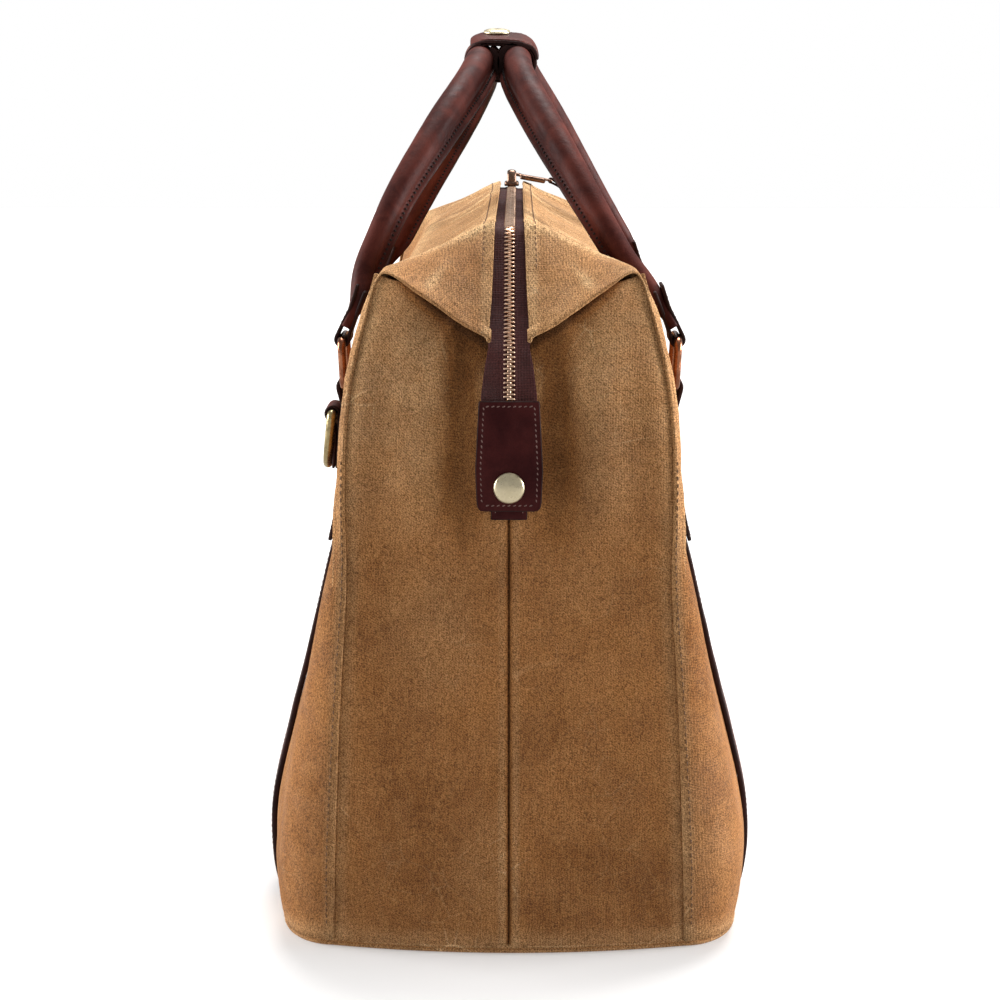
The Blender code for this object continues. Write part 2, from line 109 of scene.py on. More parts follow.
# Columns of half the cloth: up to the shoulder, flat past it, and round the corner
PANEL_COLUMNS, FLAT_COLUMNS, TURN_COLUMNS = 106, 11, 15
LAST_COLUMN = PANEL_COLUMNS + FLAT_COLUMNS + TURN_COLUMNS - 1
# Columns that a turned edge adds
HEM_COLUMNS = 8

# Stitching: pitch, length and radius of the thread
STRAP_SEWING = (0.0031, 0.0022, 0.00032)
CHAPE_SEWING = (0.0030, 0.0021, 0.00034)
FINE_SEWING = (0.0029, 0.0020, 0.0003)
KEEPER_SEWING = (0.0029, 0.0020, 0.00034)
TAB_SEWING = (0.0026, 0.0019, 0.00042)
GRIP_TAB_SEWING = (0.0028, 0.0019, 0.00034)
PULL_SEWING = (0.0022, 0.0015, 0.00025)


# ---------------------------------------------------------------- curves and fields
def ease(value, low, high):
    """0 at low and 1 at high, smooth in between."""
    t = np.clip((np.asarray(value, float) - low) / (high - low), 0, 1)
    return t * t * (3 - 2 * t)


def bell(value, middle, width):
    """1 at the middle, fading to both sides of it."""
    return np.exp(-(((value - middle) / width) ** 2))


def table(rows, z):
    """The value at height z of a smooth curve through the table's points."""
    h, v = np.array(rows, float).T
    z = np.asarray(z, float)
    k = np.clip(np.searchsorted(h, z, side="right") - 1, 0, len(h) - 2)
    before, after = np.maximum(np.arange(len(h)) - 1, 0), np.minimum(np.arange(len(h)) + 1, len(h) - 1)
    slope = (v[after] - v[before]) / (h[after] - h[before])
    step = h[k + 1] - h[k]
    t = np.clip((z - h[k]) / step, 0, 1)
    return ((2 * t**3 - 3 * t**2 + 1) * v[k] + (t**3 - 2 * t**2 + t) * step * slope[k]
            + (3 * t**2 - 2 * t**3) * v[k + 1] + (t**3 - t**2) * step * slope[k + 1])


def side_y(x, z):
    return table(HALF_WIDTH, z) - table(PINCH, z) * ease(np.abs(x), PINCH_X[1], PINCH_X[0])


def corner(z):
    """The corner's arc at height z: its centre, its radius and the angle at which the seam crosses it."""
    seam, wide = table(SEAM_Y, z), table(HALF_WIDTH, z)
    return table(HALF_LENGTH, z) - wide + seam, seam, wide - seam, np.arccos(0.80 * ease(z, 0.185, 0.25))


def swell(z):
    """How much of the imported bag's swelled outline shows at height z."""
    return 0.36 * ease(z, 0.235, 0.09)


def corner_curve(z, t):
    """The swelled outline at height z, from the middle of the side to the end seam."""
    wide, seam, length = (float(table(rows, z)) for rows in (HALF_WIDTH, SEAM_Y, HALF_LENGTH))
    a, b, d = np.array((0.04, wide)), np.array((0.125, wide)), np.array((length, seam))
    c = np.array((length - 0.005, seam + 0.72 * (wide - seam)))
    t = np.asarray(t)[:, None]
    return (1 - t) ** 3 * a + 3 * (1 - t) ** 2 * t * b + 3 * (1 - t) * t**2 * c + t**3 * d


def full_side(x, z):
    """Half the width at x, z with the swell: low down, the sides curve in towards the ends."""
    x, z = np.broadcast_arrays(np.abs(np.asarray(x, float)), np.asarray(z, float))
    straight, share = side_y(x, z), swell(z)
    result = np.array(straight)
    for k in np.ndindex(z.shape):
        if share[k] > 0 and x[k] > 0.04:
            curve = corner_curve(float(z[k]), np.linspace(0, 1, 60))
            result[k] = straight[k] * (1 - share[k]) + share[k] * np.interp(x[k], curve[:, 0], curve[:, 1])
    return result


def settle(points):
    """The ends of the base curve back towards their corners."""
    points = np.array(points, float)
    low = ease(points[..., 2], 0.06, 0.0) * ease(np.abs(points[..., 0]), 0.15, 0.24)
    share = np.clip(np.abs(points[..., 1]) / SEAM_Y[0][1], 0, 1) ** 2
    points[..., 0] -= np.sign(points[..., 0]) * 0.011 * low * share
    return points


def side_warp(points):
    """Carries a piece made for the straight side on to the swelled one."""
    points = np.array(points, float)
    z = np.linspace(0.0, 0.24, 49)
    inner, reach = 0.130, 0.05
    near, far = (full_side(np.full(49, x), z) / side_y(np.full(49, x), z) for x in (inner, inner + reach))
    share = np.clip((np.abs(points[..., 0]) - inner) / reach, 0, 1)
    points[..., 1] *= (1 - share) * np.interp(points[..., 2], z, near) + share * np.interp(points[..., 2], z, far)
    return points


def lengths(points):
    return np.r_[0, np.cumsum(np.linalg.norm(np.diff(points, axis=0), axis=1))]


def read_at(s, run, rows):
    """The rows' values at the distances s along the line."""
    return np.stack([np.interp(s, run, rows[:, k]) for k in range(rows.shape[1])], -1)


def resample(points, step=None, at=None):
    points = np.asarray(points, float)
    run = lengths(points)
    if at is None:
        at = np.linspace(0, run[-1], max(2, int(round(run[-1] / step)) + 1))
    return read_at(at, run, points)


def soften(points, sigma, step):
    """The line with its corners rounded; its ends stay where they are."""
    pad = min(int(4 * sigma / step), len(points) - 2)
    row = np.concatenate([2 * points[0] - points[pad:0:-1], points, 2 * points[-1] - points[-2:-pad - 2:-1]])
    kernel = np.exp(-0.5 * (np.arange(-pad, pad + 1) * step / sigma) ** 2)
    kernel /= kernel.sum()
    return np.stack([np.convolve(row[:, k], kernel, "valid") for k in range(points.shape[1])], 1)


def unit(vectors):
    return vectors / np.maximum(np.linalg.norm(vectors, axis=-1, keepdims=True), 1e-12)


def directions(line):
    return unit(np.gradient(line, axis=0))


def field(points, scale, seed):
    """Smooth noise from -1 to 1 at each point."""
    flat = np.asarray(points, float).reshape(-1, 3) * np.asarray(scale, float) + seed * 7.31
    return np.array([noise.noise(Vector(p)) for p in flat]).reshape(np.shape(points)[:-1])


def near_line(points, a, b):
    """Distance of each point from the segment a-b, and how far along it the nearest place is."""
    a, b = np.array(a, float), np.array(b, float)
    along = np.clip(((points - a) @ (b - a)) / ((b - a) @ (b - a)), 0, 1)
    return np.linalg.norm(points - a - along[..., None] * (b - a), axis=-1), along


# ---------------------------------------------------------------- meshes
class Mesh:
    """Collects vertices and faces, each face with a material number."""

    def __init__(self):
        self.points, self.faces, self.slots, self.values = [], [], [], []
        self.count = 0

    def add(self, points, faces, slots=0, value=0.0):
        points = np.asarray(points, float).reshape(-1, 3)
        self.points.append(points)
        self.values.append(np.broadcast_to(np.asarray(value, float).reshape(-1), (len(points),)))
        self.faces += [tuple(int(v) + self.count for v in face) for face in faces]
        self.slots += [slots] * len(faces) if isinstance(slots, int) else list(slots)
        self.count += len(points)

    def grid(self, rows, slot=0, value=0.0, closed=False):
        rows = np.asarray(rows, float)
        self.add(rows, grid_faces(*rows.shape[:2], closed), slot, value)

    def rings(self, rows, slots=0, joined=False):
        """Rings of points one after the other, capped at both ends or joined up."""
        rows = np.asarray(rows, float)
        count, sides = rows.shape[:2]
        last = (count - 1) * sides
        faces = grid_faces(count, sides, True)
        if joined:
            faces += [(last + j, last + (j + 1) % sides, (j + 1) % sides, j) for j in range(sides)]
        else:
            faces += [tuple(range(sides))[::-1], tuple(range(last, last + sides))]
        self.add(rows, faces, slots)

    def cap(self, start, sides):
        self.faces.append(tuple(range(start, start + sides)))
        self.slots.append(0)

    def build(self, name, materials, angle=None):
        data = bpy.data.meshes.new(name)
        data.from_pydata(np.concatenate(self.points).tolist(), [], self.faces)
        for made in materials:
            data.materials.append(made)
        data.polygons.foreach_set("material_index", self.slots)
        attribute = data.attributes.new("pale", "FLOAT", "POINT")
        attribute.data.foreach_set("value", np.concatenate(self.values).astype(np.float32))
        data.shade_smooth()
        if angle:
            data.set_sharp_from_angle(angle=math.radians(angle))
        data.update()
        obj = bpy.data.objects.new(name, data)
        bpy.context.scene.collection.objects.link(obj)
        return obj


def grid_faces(m, n, closed=False):
    i, j = np.meshgrid(np.arange(m - 1), np.arange(n if closed else n - 1), indexing="ij")
    a, b = (i * n + j).ravel(), (i * n + (j + 1) % n).ravel()
    return np.stack([a, b, b + n, a + n], 1).tolist()


def face_out(obj, way=None):
    """Turns the faces so that most of them point the given way, or away from the bag's middle."""
    data = obj.data
    count = len(data.polygons)
    normals, centres, areas = (np.zeros(count * k, np.float32) for k in (3, 3, 1))
    for name, values in (("normal", normals), ("center", centres), ("area", areas)):
        data.polygons.foreach_get(name, values)
    wanted = centres.reshape(-1, 3) * (1, 1, 0) if way is None else np.array(way, float)
    if ((normals.reshape(-1, 3) * wanted).sum(1) * areas).sum() < 0:
        data.flip_normals()


def piece(mesh, name, materials, body, slot, *nodes, angle=None, thick=0.0, way=None):
    """Builds a piece that rides on its body and stands for the CAD nodes; the slot is not used.
    A thick one is a sheet: its outer side faces the given way."""
    obj = mesh.build(name, materials, angle)
    if thick:
        face_out(obj, way)
        shell = obj.modifiers.new("Thickness", "SOLIDIFY")
        shell.thickness, shell.offset, shell.use_even_offset = thick, -1, False
    if body:
        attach(obj, body)
    if nodes:
        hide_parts(*nodes)
    return obj


def grid_normals(grid, side):
    """The cloth's normals, on the side away from the bag."""
    normals = unit(np.cross(np.gradient(grid, axis=1), np.gradient(grid, axis=0)))
    return normals if normals[30, grid.shape[1] // 2, 1] * side > 0 else -normals


def turned_edge(grid, normals, radius, back):
    """Extra columns after the grid's last, where the cloth turns under by its edge."""
    out = unit(grid[:, -1] - grid[:, -3])
    for _ in range(3):
        out[1:-1] = unit(out[:-2] + 2 * out[1:-1] + out[2:])
    inward, edge = -normals[:, -1], grid[:, -1]
    radius, back = (np.broadcast_to(v, (len(edge),))[:, None] for v in (radius, back))
    columns = [edge + out * math.sin(t) * radius + inward * (1 - math.cos(t)) * radius
               for t in np.radians((35, 75, 110, 145, 180))]
    columns += [edge - out * back * f + inward * radius * (2 + 0.3 * f) for f in (0.33, 0.66, 1)]
    return np.concatenate([grid, np.stack(columns, 1)], 1)


def more_columns(values):
    """The last column repeated for the cloth that turned_edge adds."""
    return np.concatenate([values, np.repeat(values[:, -1:], HEM_COLUMNS, 1)], 1)


class Strap:
    """A strip of leather or tape: path is the middle of its outer face, side points across it."""

    def __init__(self, path, side, half, thick, out, step=0.002, sigma=0.0, rounding=0.0005):
        path = resample(path, 0.0005)
        if sigma:
            path = soften(path, sigma, 0.0005)
        self.run = lengths(path)
        self.length, self.thick, self.path = self.run[-1], thick, path
        self.side = unit(np.array(side, float))
        self.normal = unit(np.cross(directions(path), self.side))
        if self.normal[0] @ np.array(out, float) < 0:
            self.normal = -self.normal
        self.half = half if callable(half) else (lambda s: np.full(np.shape(s), half))
        self.step, self.rounding = step, min(rounding, thick / 2)

    def at(self, s, across, lift=0.0):
        s = np.atleast_1d(s)
        normal = unit(read_at(s, self.run, self.normal))
        across = np.broadcast_to(across, s.shape)
        return read_at(s, self.run, self.path) + np.outer(across, self.side) + normal * lift, normal

    def into(self, mesh, face=0, edge=1, crown=0.0, across=8, waves=0.0, seed=0):
        """Adds the strap: a ring of points at each station, with rounded edges and ends."""
        r, t = self.rounding, self.thick
        count = max(2, int(round((self.length - 2 * r) / self.step)))
        s = np.r_[0, 0.3 * r, np.linspace(r, self.length - r, count + 1), self.length - 0.3 * r, self.length]
        inset = np.zeros(len(s))
        inset[[0, -1]], inset[[1, -2]] = r, 0.3 * r
        half, normal, middle = self.half(s), unit(read_at(s, self.run, self.normal)), resample(self.path, at=s)
        turn = [(math.cos(k), math.sin(k)) for k in np.radians((90, 60, 30, 0))]
        # Each point of the ring: share of the flat's half width, place on the rounded edge, upper or lower
        ring = [(f, 0, 0, 1) for f in np.linspace(-1, 1, across + 1)]
        ring += [(1, c, up, 1) for c, up in turn] + [(1, c, up, -1) for c, up in turn[::-1]]
        ring += [(f, 0, 0, -1) for f in np.linspace(1, -1, across + 1)]
        ring += [(-1, -c, up, -1) for c, up in turn] + [(-1, -c, up, 1) for c, up in turn[::-1]]
        kinds = [face] * (across + 1) + [edge] * 7 + [face] * (across + 1) + [edge] * 9
        ripple = waves * field(middle, 60, seed) if waves else np.zeros(len(s))
        grid = []
        for share, beyond, up, level in ring:
            dip = r * (1 - up) if beyond else 0.0
            lift = -inset - dip if level > 0 else -t + inset + dip
            if level > 0 and not beyond:
                lift = lift + crown * (1 - share**2)
            if level < 0 and beyond and up == 0:
                lift = np.minimum(lift, -inset - r)
            a = share * (half - inset - r) + beyond * r
            grid.append(middle + np.outer(a, self.side) + normal * (lift + ripple)[:, None])
        ends = (0, 1, len(s) - 3, len(s) - 2)
        slots = [edge if i in ends else kind for i in range(len(s) - 1) for kind in kinds]
        mesh.rings(np.stack(grid, 1), slots + [edge, edge])
        return self

    def sew(self, mesh, start, stop, reach, sewing, sides=(-1, 1), **more):
        """Rows of stitches along the strap, at the reach to each side of its middle."""
        s = np.arange(start, stop, 0.001)
        for side in sides:
            stitches(mesh, *self.at(s, side * (reach(s) if callable(reach) else reach)), *sewing, **more)

    def sew_across(self, mesh, s, reach, count, sewing, **more):
        stitches(mesh, *self.at(np.full(count, s), np.linspace(-1, 1, count) * reach, 0.0002), *sewing, **more)


def stitches(mesh, points, normals, pitch, size, radius, slot=2, tilt=0.0):
    """Short threads along a line, each sunk at its ends."""
    run = lengths(points)
    count = int(run[-1] // pitch)
    turn = [(math.cos(t), math.sin(t)) for t in np.arange(5) * 2 * math.pi / 5]
    # Along the thread: place, width and lift
    stations = ((-0.5, 0.2, -1.1), (-0.36, 0.8, -0.5), (0, 1, -0.25), (0.36, 0.8, -0.5), (0.5, 0.2, -1.1))
    tangent = directions(points)
    for k in range(count):
        s = (k + 0.5) * pitch + (run[-1] - count * pitch) / 2
        p, t, n = (read_at(s, run, rows) for rows in (points, tangent, normals))
        t, n = unit(t), unit(n)
        t = unit(t + np.cross(n, t) * tilt)
        b = np.cross(n, t)
        mesh.grid([[p + t * a * size + n * radius * lift + (b * c + n * d) * radius * wide for c, d in turn]
                   for a, wide, lift in stations], slot, closed=True)


def tube(mesh, points, radius, closed=False, sides=16, waves=0.0):
    """A round bar along the line; its cross directions turn as little as they can."""
    points = np.asarray(points, float)
    tangent = unit(np.roll(points, -1, 0) - np.roll(points, 1, 0)) if closed else directions(points)
    first = np.array((0, 0, 1.0))
    if abs(first @ tangent[0]) > 0.9:
        first = np.array((1.0, 0.2, 0))
    normals = []
    for t in tangent:
        first = first - (first @ t) * t
        first = first / np.linalg.norm(first)
        normals.append(first)
    n = np.array(normals)[:, None]
    b = np.cross(tangent, normals)[:, None]
    turn = (np.arange(sides) * 2 * math.pi / sides)[None, :, None]
    grid = points[:, None] + radius * (np.cos(turn) * n + np.sin(turn) * b)
    if waves:
        grid = grid + waves * field(grid, 400, 3)[..., None] * unit(grid - points[:, None])
    mesh.rings(grid, joined=closed)


def lathe(mesh, profile, centre, axis, sides=48):
    """A turned piece: profile gives (radius, height along the axis); it starts and ends on the axis."""
    axis = unit(np.array(axis, float))
    first = unit(np.cross(axis, (0.3, 0.5, 0.81)))
    second = np.cross(axis, first)
    turn = (np.arange(sides) * 2 * math.pi / sides)[:, None]
    ring = np.cos(turn) * first + np.sin(turn) * second
    mesh.rings([np.array(centre) + axis * h + ring * max(r, 1e-5) for r, h in profile])


# ---------------------------------------------------------------- materials
class Shader:
    """A procedural material: node helpers round one Principled shader."""

    def __init__(self, name, **values):
        self.data = bpy.data.materials.new(name)
        self.data.use_nodes = True
        self.tree = self.data.node_tree
        self.out = self.tree.nodes["Principled BSDF"]
        for key, value in values.items():
            self.out.inputs[key.replace("_", " ")].default_value = value
        self.coords = self.node("ShaderNodeTexCoord").outputs["Object"]

    def node(self, kind, inputs=(), **settings):
        made = self.tree.nodes.new(kind)
        for name, value in settings.items():
            setattr(made, name, value)
        for name, value in inputs:
            self.put(made.inputs[name], value)
        return made

    def put(self, socket, value):
        if isinstance(value, bpy.types.NodeSocket):
            self.tree.links.new(value, socket)
        else:
            socket.default_value = value

    def math(self, operation, *values, clamp=False):
        return self.node("ShaderNodeMath", enumerate(values), operation=operation, use_clamp=clamp).outputs[0]

    def noise(self, scale, detail=3.0, rough=0.5, vector=None, distortion=0.0):
        made = self.node("ShaderNodeTexNoise", (("Vector", vector or self.coords), ("Scale", scale),
                                                ("Detail", detail), ("Roughness", rough),
                                                ("Distortion", distortion)))
        return made.outputs["Fac"]

    def voronoi(self, scale, feature="F1"):
        made = self.node("ShaderNodeTexVoronoi", feature=feature)
        self.put(made.inputs["Vector"], self.coords)
        made.inputs["Scale"].default_value = scale
        return made.outputs["Distance"]

    def stretch(self, scale):
        return self.node("ShaderNodeVectorMath", ((0, self.coords), (1, scale)), operation="MULTIPLY").outputs[0]

    def ramp(self, value, low, high, to_low=0.0, to_high=1.0):
        inputs = enumerate((value, low, high, to_low, to_high))
        return self.node("ShaderNodeMapRange", inputs, interpolation_type="SMOOTHSTEP").outputs[0]

    def mix(self, factor, a, b, blend="MIX"):
        made = self.node("ShaderNodeMix", data_type="RGBA", blend_type=blend)
        for name, value in (("Factor", factor), ("A", a), ("B", b)):
            socket = next(s for s in made.inputs if s.name == name and s.enabled)
            self.put(socket, (*value, 1) if isinstance(value, tuple) else value)
        return next(s for s in made.outputs if s.enabled)

    def bump(self, height, distance, strength=1.0, normal=None):
        made = self.node("ShaderNodeBump", (("Strength", strength), ("Distance", distance), ("Height", height)))
        if normal is not None:
            self.put(made.inputs["Normal"], normal)
        return made.outputs["Normal"]

    def finish(self, colour, roughness, normal=None):
        self.put(self.out.inputs["Base Color"], colour)
        self.put(self.out.inputs["Roughness"], roughness)
        if normal is not None:
            self.put(self.out.inputs["Normal"], normal)
        return self.data

    def twill(self, pitch):
        """Slanting lines of the twill, from -1 to 1."""
        x, y, z = self.node("ShaderNodeSeparateXYZ", ((0, self.coords),)).outputs
        level = self.math("MULTIPLY_ADD", self.math("ADD", x, y), 0.62, z)
        level = self.math("MULTIPLY_ADD", self.noise(130, 2), 0.0016, level)
        return self.math("SINE", self.math("MULTIPLY", level, 2 * math.pi / pitch))

    def threads(self, pitch):
        """Woven threads along all three axes, each fading where the cloth faces along it."""
        wander = self.noise(55, 2)
        place = self.node("ShaderNodeSeparateXYZ", ((0, self.coords),))
        surface = self.node("ShaderNodeNewGeometry").outputs["Normal"]
        facing = self.node("ShaderNodeSeparateXYZ", ((0, surface),))
        total = None
        for axis in range(3):
            moved = self.math("MULTIPLY_ADD", wander, 0.0012, place.outputs[axis])
            wave = self.math("SINE", self.math("MULTIPLY", moved, 2 * math.pi / pitch))
            share = self.math("POWER", self.math("ABSOLUTE", facing.outputs[axis]), 2.0)
            wave = self.math("MULTIPLY", wave, self.math("SUBTRACT", 1.0, share))
            total = wave if total is None else self.math("ADD", total, wave)
        return total


def scaled(colour, by, plus=0.0):
    """The colour made lighter or darker."""
    return tuple(min(1, c * by + plus) for c in colour)


def canvas_material():
    """Waxed cotton: the attribute pale is above 0 where the cloth is rubbed and creased pale and where a highlight
    is painted on, and below 0 where shade is painted into hollows and under folds.
    """
    m = Shader("waxed_canvas", Specular_IOR_Level=0.16)
    pale = m.node("ShaderNodeAttribute", attribute_name="pale").outputs["Fac"]
    base = m.mix(m.ramp(m.noise(16, 4, 0.6), 0.34, 0.68), (0.216, 0.086, 0.0245), (0.338, 0.147, 0.0460))
    blotch = m.ramp(m.noise(46, 3, 0.65, distortion=0.6), 0.36, 0.70)
    base = m.mix(m.math("MULTIPLY", blotch, 0.3), base, (0.385, 0.180, 0.0620))
    streak = m.noise(1, 4, 0.65, m.stretch((150, 210, 90)), 0.3)
    base = m.mix(m.ramp(streak, 0.42, 0.66, 0, 0.30), base, (0.400, 0.190, 0.0660))
    # Wax cracks to pale lines where the cloth has been folded
    crackle = m.math("ADD", m.voronoi(62, "DISTANCE_TO_EDGE"), m.math("MULTIPLY", m.noise(30, 3, 0.6), 0.10))
    lines = m.math("MULTIPLY", m.ramp(crackle, 0.045, 0.085, 1, 0), m.ramp(m.noise(12, 3, 0.7), 0.50, 0.66))
    paleness = m.math("ADD", pale, m.math("MULTIPLY", lines, m.math("MULTIPLY_ADD", pale, 1.5, 0.08)))
    paleness = m.math("MULTIPLY", paleness, m.ramp(m.noise(90, 4, 0.7), 0.2, 0.75, 0.55, 1.15), clamp=True)
    # Paler towards light tan: rubbed and creased cloth, plus a painted highlight on the upward-facing top and the
    # end panels' upper parts
    colour = m.mix(paleness, base, (0.72, 0.485, 0.255))
    # Painted shade: where pale is below 0 the cloth darkens towards deep brown, in the troughs, under the ears'
    # folds and in the middle seams
    colour = m.mix(m.ramp(pale, -0.6, 0.0, 0.75, 0.0), colour, (0.085, 0.035, 0.0130))
    # Grain of the cloth: woven threads, slubs, flecks and twill
    threads, fleck = m.threads(0.00078), m.noise(2100, 1, 0.5)
    slub = m.ramp(m.noise(1, 2, 0.6, m.stretch((800, 1300, 950))), 0.3, 0.7, -0.6, 0.6)
    speck = m.math("ADD", m.ramp(fleck, 0.3, 0.7, -0.7, 0.7), m.math("MULTIPLY_ADD", threads, 0.24, slub))
    speck = m.math("MULTIPLY_ADD", m.twill(0.00118), 0.22, speck)
    dark, light = (m.mix(1.0, colour, by, "MULTIPLY") for by in ((0.40, 0.37, 0.32), (1.62, 1.61, 1.60)))
    colour = m.mix(m.math("MULTIPLY_ADD", speck, 0.5, 0.5, clamp=True), dark, light)
    height = m.math("ADD", m.math("MULTIPLY", threads, 0.5), m.math("MULTIPLY", fleck, 0.8))
    normal = m.bump(height, 0.00022, 0.75, m.bump(m.noise(140, 4, 0.6), 0.0009, 0.5))
    return m.finish(colour, m.ramp(m.noise(60, 3), 0.3, 0.7, 0.62, 0.82), normal)


def leather_material(name, dark, light, rough, grain=1.0, shine=0.22):
    m = Shader(name, Specular_IOR_Level=shine)
    colour = m.mix(m.ramp(m.noise(38, 5, 0.62, distortion=0.5), 0.32, 0.70), dark, light)
    colour = m.mix(m.ramp(m.noise(150, 4, 0.7), 0.52, 0.78, 0, 0.26), colour, scaled(light, 1.55, 0.006))
    pores, folds = m.voronoi(1150), m.voronoi(430, "SMOOTH_F1")
    colour = m.mix(m.ramp(pores, 0.0, 0.5, 0.30, 0.0), colour, scaled(dark, 0.55))
    height = m.math("ADD", m.math("MULTIPLY", pores, 0.7), m.math("MULTIPLY", folds, 0.8))
    normal = m.bump(height, 0.00016 * grain, 0.65, m.bump(m.noise(120, 3, 0.6), 0.0003, 0.3))
    return m.finish(colour, m.ramp(m.noise(75, 4, 0.65), 0.3, 0.7, *rough), normal)


def thread_material(name, dark, light):
    m = Shader(name, Specular_IOR_Level=0.3)
    inputs = (("Vector", m.coords), ("Scale", 620), ("Distortion", 1.5))
    twist = m.node("ShaderNodeTexWave", inputs, wave_type="BANDS", bands_direction="DIAGONAL").outputs["Fac"]
    colour = m.mix(m.ramp(m.noise(210, 3), 0.3, 0.7, 0, 0.5), m.mix(twist, dark, light), scaled(dark, 0.6))
    return m.finish(colour, m.ramp(m.noise(300, 2), 0.3, 0.7, 0.55, 0.8), m.bump(twist, 0.0001, 0.6))


def metal_material(name, clean, aged, dirt, rough=(0.24, 0.44), patina=0.5):
    m = Shader(name, Metallic=1.0)
    cloud = m.ramp(m.noise(190, 5, 0.6, distortion=0.4), 0.30, 0.72)
    colour = m.mix(m.math("MULTIPLY", cloud, patina), clean, aged)
    colour = m.mix(m.ramp(m.noise(640, 4, 0.7), 0.56, 0.74, 0, 0.75), colour, dirt)
    brushed = m.noise(1, 3, 0.6, m.stretch((900, 2600, 700)))
    normal = m.bump(brushed, 0.00003, 0.6, m.bump(m.noise(420, 3), 0.0002, 0.25))
    return m.finish(colour, m.ramp(m.noise(330, 4, 0.65), 0.3, 0.72, *rough), normal)


def weave_material(name, dark, light, pitch, sheen):
    m = Shader(name, Specular_IOR_Level=0.25, Sheen_Weight=sheen, Sheen_Roughness=0.4)
    threads = m.threads(pitch)
    colour = m.mix(m.math("MULTIPLY_ADD", threads, 0.3, 0.45, clamp=True), dark, light)
    colour = m.mix(m.ramp(m.noise(33, 4, 0.6), 0.32, 0.7, 0, 0.4), colour, scaled(dark, 0.62))
    colour = m.mix(m.ramp(m.noise(1300, 1), 0.5, 0.75, 0, 0.35), colour, scaled(light, 1.3))
    normal = m.bump(threads, 0.0002, 0.7, m.bump(m.noise(500, 2), 0.0003, 0.3))
    return m.finish(colour, m.ramp(m.noise(90, 3), 0.3, 0.7, 0.68, 0.88), normal)


def board_material():
    m = Shader("base_board", Specular_IOR_Level=0.3)
    fibre = m.noise(1, 5, 0.7, m.stretch((120, 900, 900)))
    colour = m.mix(m.ramp(fibre, 0.3, 0.7), (0.035, 0.032, 0.030), (0.085, 0.078, 0.070))
    colour = m.mix(m.ramp(m.noise(20, 4), 0.4, 0.7, 0, 0.4), colour, (0.05, 0.04, 0.035))
    return m.finish(colour, m.ramp(fibre, 0.3, 0.7, 0.6, 0.8), m.bump(fibre, 0.0003, 0.5))


CANVAS_CLOTH = canvas_material()
CANVAS_THREAD = thread_material("canvas_thread", (0.110, 0.052, 0.022), (0.250, 0.128, 0.056))
LEATHER = leather_material("leather", (0.036, 0.0068, 0.0052), (0.104, 0.0236, 0.0164), (0.48, 0.64), 1.0, 0.10)
TAB_LEATHER = leather_material("tab_leather", (0.030, 0.0050, 0.0055), (0.058, 0.0110, 0.0105),
                               (0.34, 0.50), 1.0, 0.06)
LEATHER_EDGE = leather_material("leather_edge", (0.016, 0.0060, 0.0052), (0.036, 0.0130, 0.0110),
                                (0.45, 0.62), 1.4, 0.12)
LEATHER_THREAD = thread_material("leather_thread", (0.110, 0.058, 0.052), (0.250, 0.145, 0.122))
HOLE_THREAD = thread_material("handle_thread", (0.012, 0.006, 0.006), (0.030, 0.014, 0.013))
TAPE = weave_material("zip_tape", (0.032, 0.0068, 0.0068), (0.125, 0.034, 0.030), 0.00075, 0.02)
TEETH = metal_material("zip_metal", (0.86, 0.60, 0.43), (0.55, 0.32, 0.21), (0.16, 0.080, 0.050), patina=0.6)
BRONZE = metal_material("slider_bronze", (0.25, 0.150, 0.105), (0.12, 0.068, 0.048), (0.06, 0.03, 0.02),
                        patina=0.8)
BRASS = metal_material("antique_brass", (0.66, 0.58, 0.40), (0.50, 0.42, 0.26), (0.22, 0.17, 0.10), (0.26, 0.44))
OLIVE_BRASS = metal_material("olive_brass", (0.44, 0.35, 0.18), (0.26, 0.20, 0.10), (0.09, 0.07, 0.04),
                             (0.2, 0.4), 0.8)
COPPER = metal_material("copper", (0.40, 0.170, 0.092), (0.19, 0.070, 0.038), (0.06, 0.024, 0.015),
                        (0.14, 0.32), 0.9)
LINING = weave_material("lining", (0.20, 0.150, 0.100), (0.38, 0.30, 0.21), 0.0007, 0.1)
ROPE = weave_material("handle_core", (0.42, 0.35, 0.25), (0.62, 0.55, 0.42), 0.0011, 0.1)
BOARD = board_material()
HIDE = [LEATHER, LEATHER_EDGE, LEATHER_THREAD]
TAB_HIDE = [TAB_LEATHER, LEATHER_EDGE, LEATHER_THREAD]


# ---------------------------------------------------------------- canvas
def open_with_flap(obj):
    """Bakes the object's placement into its mesh."""
    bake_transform(obj)


